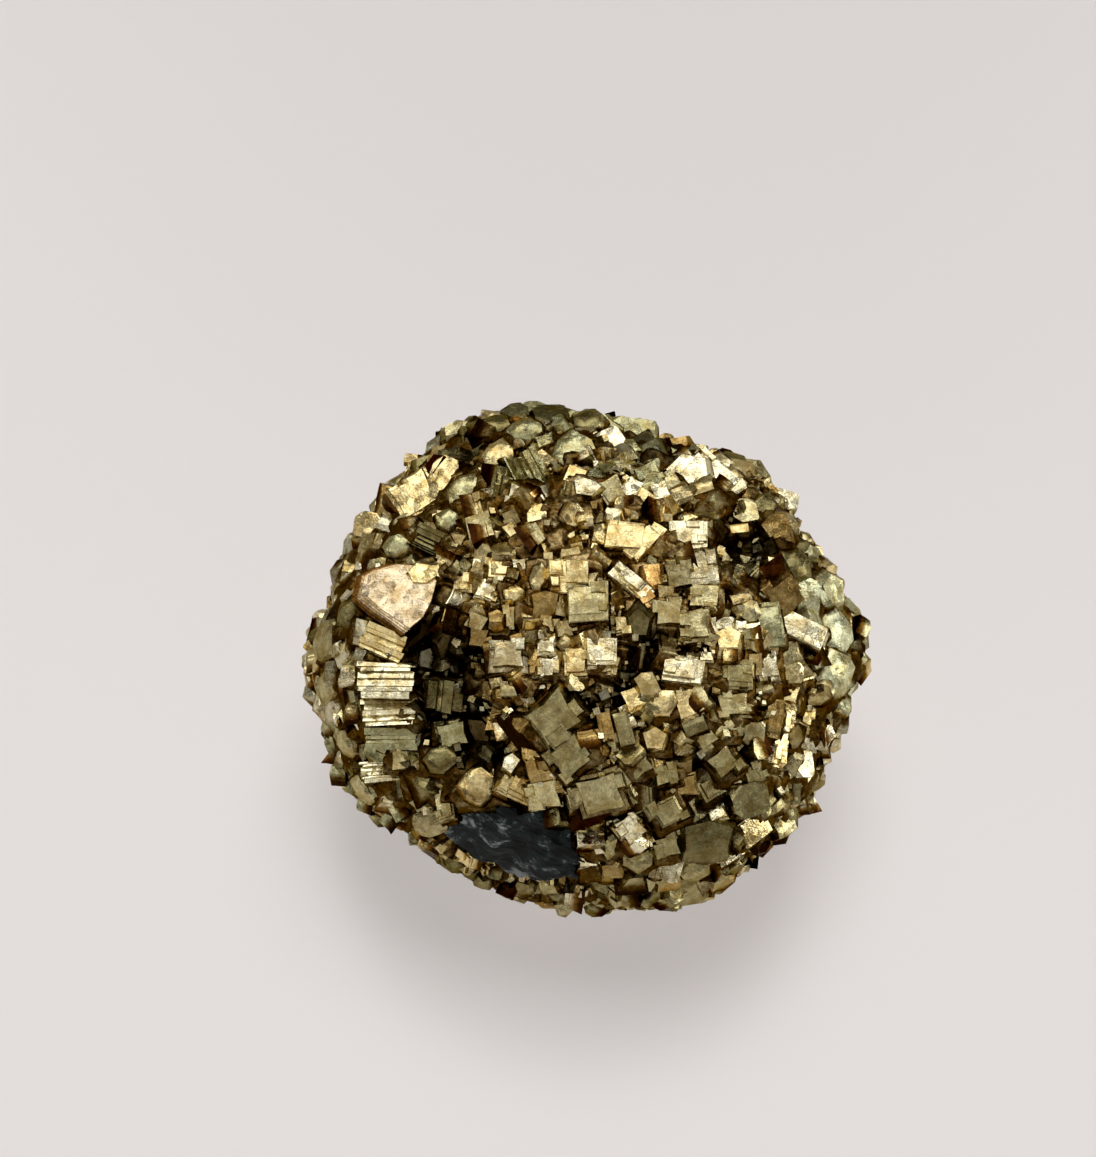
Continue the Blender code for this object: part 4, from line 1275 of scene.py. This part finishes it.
cluster = makePiece("large_crystals", growLarge(), brassy)
medium = makePiece("crystal_druse", growDruse(), brassy)
fine = makePiece("fine_crystals", growFine(gapFill) + growFine(chips), brassy)
core = makePiece("cluster_core", [coreSurface()], brassy, sharpAbove=180)
rock = makePiece("slate_chunk", [slateSurface()], slateMaterial(), sharpAbove=180)
for piece in (cluster, medium, fine, core):
    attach(piece, "root")
    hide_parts("crystal_cluster")
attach(rock, "root")
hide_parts("host_rock")
print("pieces placed")

# Floor, light and camera


def makeFloor(half=3.0):
    mesh = bpy.data.meshes.new("floor")
    corners = [(-half, -half, 0), (half, -half, 0), (half, half, 0), (-half, half, 0)]
    mesh.from_pydata(corners, [], [(0, 1, 2, 3)])
    mesh.materials.append(floorMaterial())
    addObject("floor", mesh)


# Area lights that look at the middle of the specimen: where they stand, metres away, width and height in
# metres, watts and colour. The first four show in the metal, and the others light dull surfaces only.
softboxes = {
    "window_left": ((-0.32, 0.46, 0.77), 1.1, (0.58, 0.9), 3.1, (1.0, 0.99, 0.97)),
    "window_right": ((0.36, 0.42, 0.77), 1.1, (0.58, 0.9), 3.1, (1.0, 0.99, 0.97)),
    "side_left": ((-0.85, -0.10, 0.52), 1.1, (0.5, 0.6), 1.7, (1.0, 0.97, 0.93)),
    "side_right": ((0.92, 0.05, 0.38), 1.1, (0.4, 0.6), 2.8, (0.97, 0.98, 1.0)),
    "ceiling": ((0.05, 0.25, 1.0), 2.0, (1.2, 1.2), 11.5, (1.0, 0.98, 0.975)),
    "evening": ((0.0, 0.0, 1.0), 2.0, (3.5, 3.5), 49.0, (1.0, 0.975, 0.97)),  # evens out the floor
}


def addSoftboxes():
    for name, (toward, distance, size, power, colour) in softboxes.items():
        light = bpy.data.lights.new(name, "AREA")
        light.shape = "RECTANGLE"
        light.size, light.size_y = size
        light.energy = power
        light.color = colour
        light.use_shadow = light.cycles.use_multiple_importance_sampling = name != "evening"
        lamp = addObject(name, light)
        lamp.visible_diffuse = name in ("ceiling", "evening")
        lamp.visible_glossy = not lamp.visible_diffuse
        toward = unit(np.array(toward, float))
        lamp.location = (dome["middle"] * mm + toward * distance).tolist()
        lamp.rotation_euler = Vector(toward.tolist()).to_track_quat("Z", "Y").to_euler()


room = {
    "horizon": "7c786e",
    "overhead": "8a8883",
    "viewer": "dedad4",
    "backdrop": "dcd6d4",
    "clutter": {"From_Min": 0.38, "From_Max": 0.62, "To_Min": 0.1, "To_Max": 2.0},
}


def makeWorld():
    # a room full of lighter and darker things, seen only in the metal, with someone who looks down on it
    world = bpy.data.worlds.new("studio")
    bpy.context.scene.world = world
    world.cycles_visibility.diffuse = False
    world.use_nodes = True
    tree = world.node_tree
    horizon, overhead, viewer, backdrop = [(*linear(room[name]), 1) for name in
                                           ("horizon", "overhead", "viewer", "backdrop")]
    place = addNode(tree, "TexCoord").outputs["Generated"]
    up = addNode(tree, "SeparateXYZ", Vector=place).outputs["Z"]
    height = addNode(tree, "MapRange", Value=up, From_Min=0.0, From_Max=0.45)
    walls = addNode(tree, "Mix", data_type="RGBA", Factor=height, A=horizon, B=overhead)
    toward = addNode(tree, "VectorMath", operation="DOT_PRODUCT", in0=place, in1=outAxis.tolist())
    near = addNode(tree, "MapRange", interpolation_type="SMOOTHSTEP", Value=toward.outputs["Value"],
                   From_Min=0.66, From_Max=0.93)
    shade = addNode(tree, "Mix", data_type="RGBA", Factor=near, A=walls, B=viewer)
    things = addNode(tree, "TexNoise", Vector=place, Scale=3.4, Detail=4.0, Roughness=0.7)
    clutter = addNode(tree, "MapRange", Value=things, **room["clutter"])
    seen = addNode(tree, "Mix", data_type="RGBA", blend_type="MULTIPLY", Factor=1.0, A=shade, B=clutter)
    # past the floor's edge there is only a pale backdrop
    path = addNode(tree, "LightPath").outputs["Is Camera Ray"]
    behind = addNode(tree, "Mix", data_type="RGBA", Factor=path, A=seen, B=backdrop)
    tree.links.new(behind.outputs["Result"], tree.nodes["Background"].inputs["Color"])


def makeCamera():
    data = bpy.data.cameras.new("camera")
    data.sensor_width = 36.0
    data.lens = data.sensor_width * camera["distance"] / camera["frameHeight"]
    data.clip_start, data.clip_end = 0.01, 20
    eye = bpy.context.scene.camera = addObject("camera", data)
    aim = dome["middle"] + onShowSide(camera["aimAcross"], camera["aimUp"])
    eye.location = ((aim + camera["distance"] * outAxis) * mm).tolist()
    eye.rotation_euler = (math.radians(90) - showTilt, 0, 0)


makeFloor()
makeWorld()
makeCamera()
addSoftboxes()
bpy.context.scene.view_settings.view_transform = "Standard"
print("studio ready")
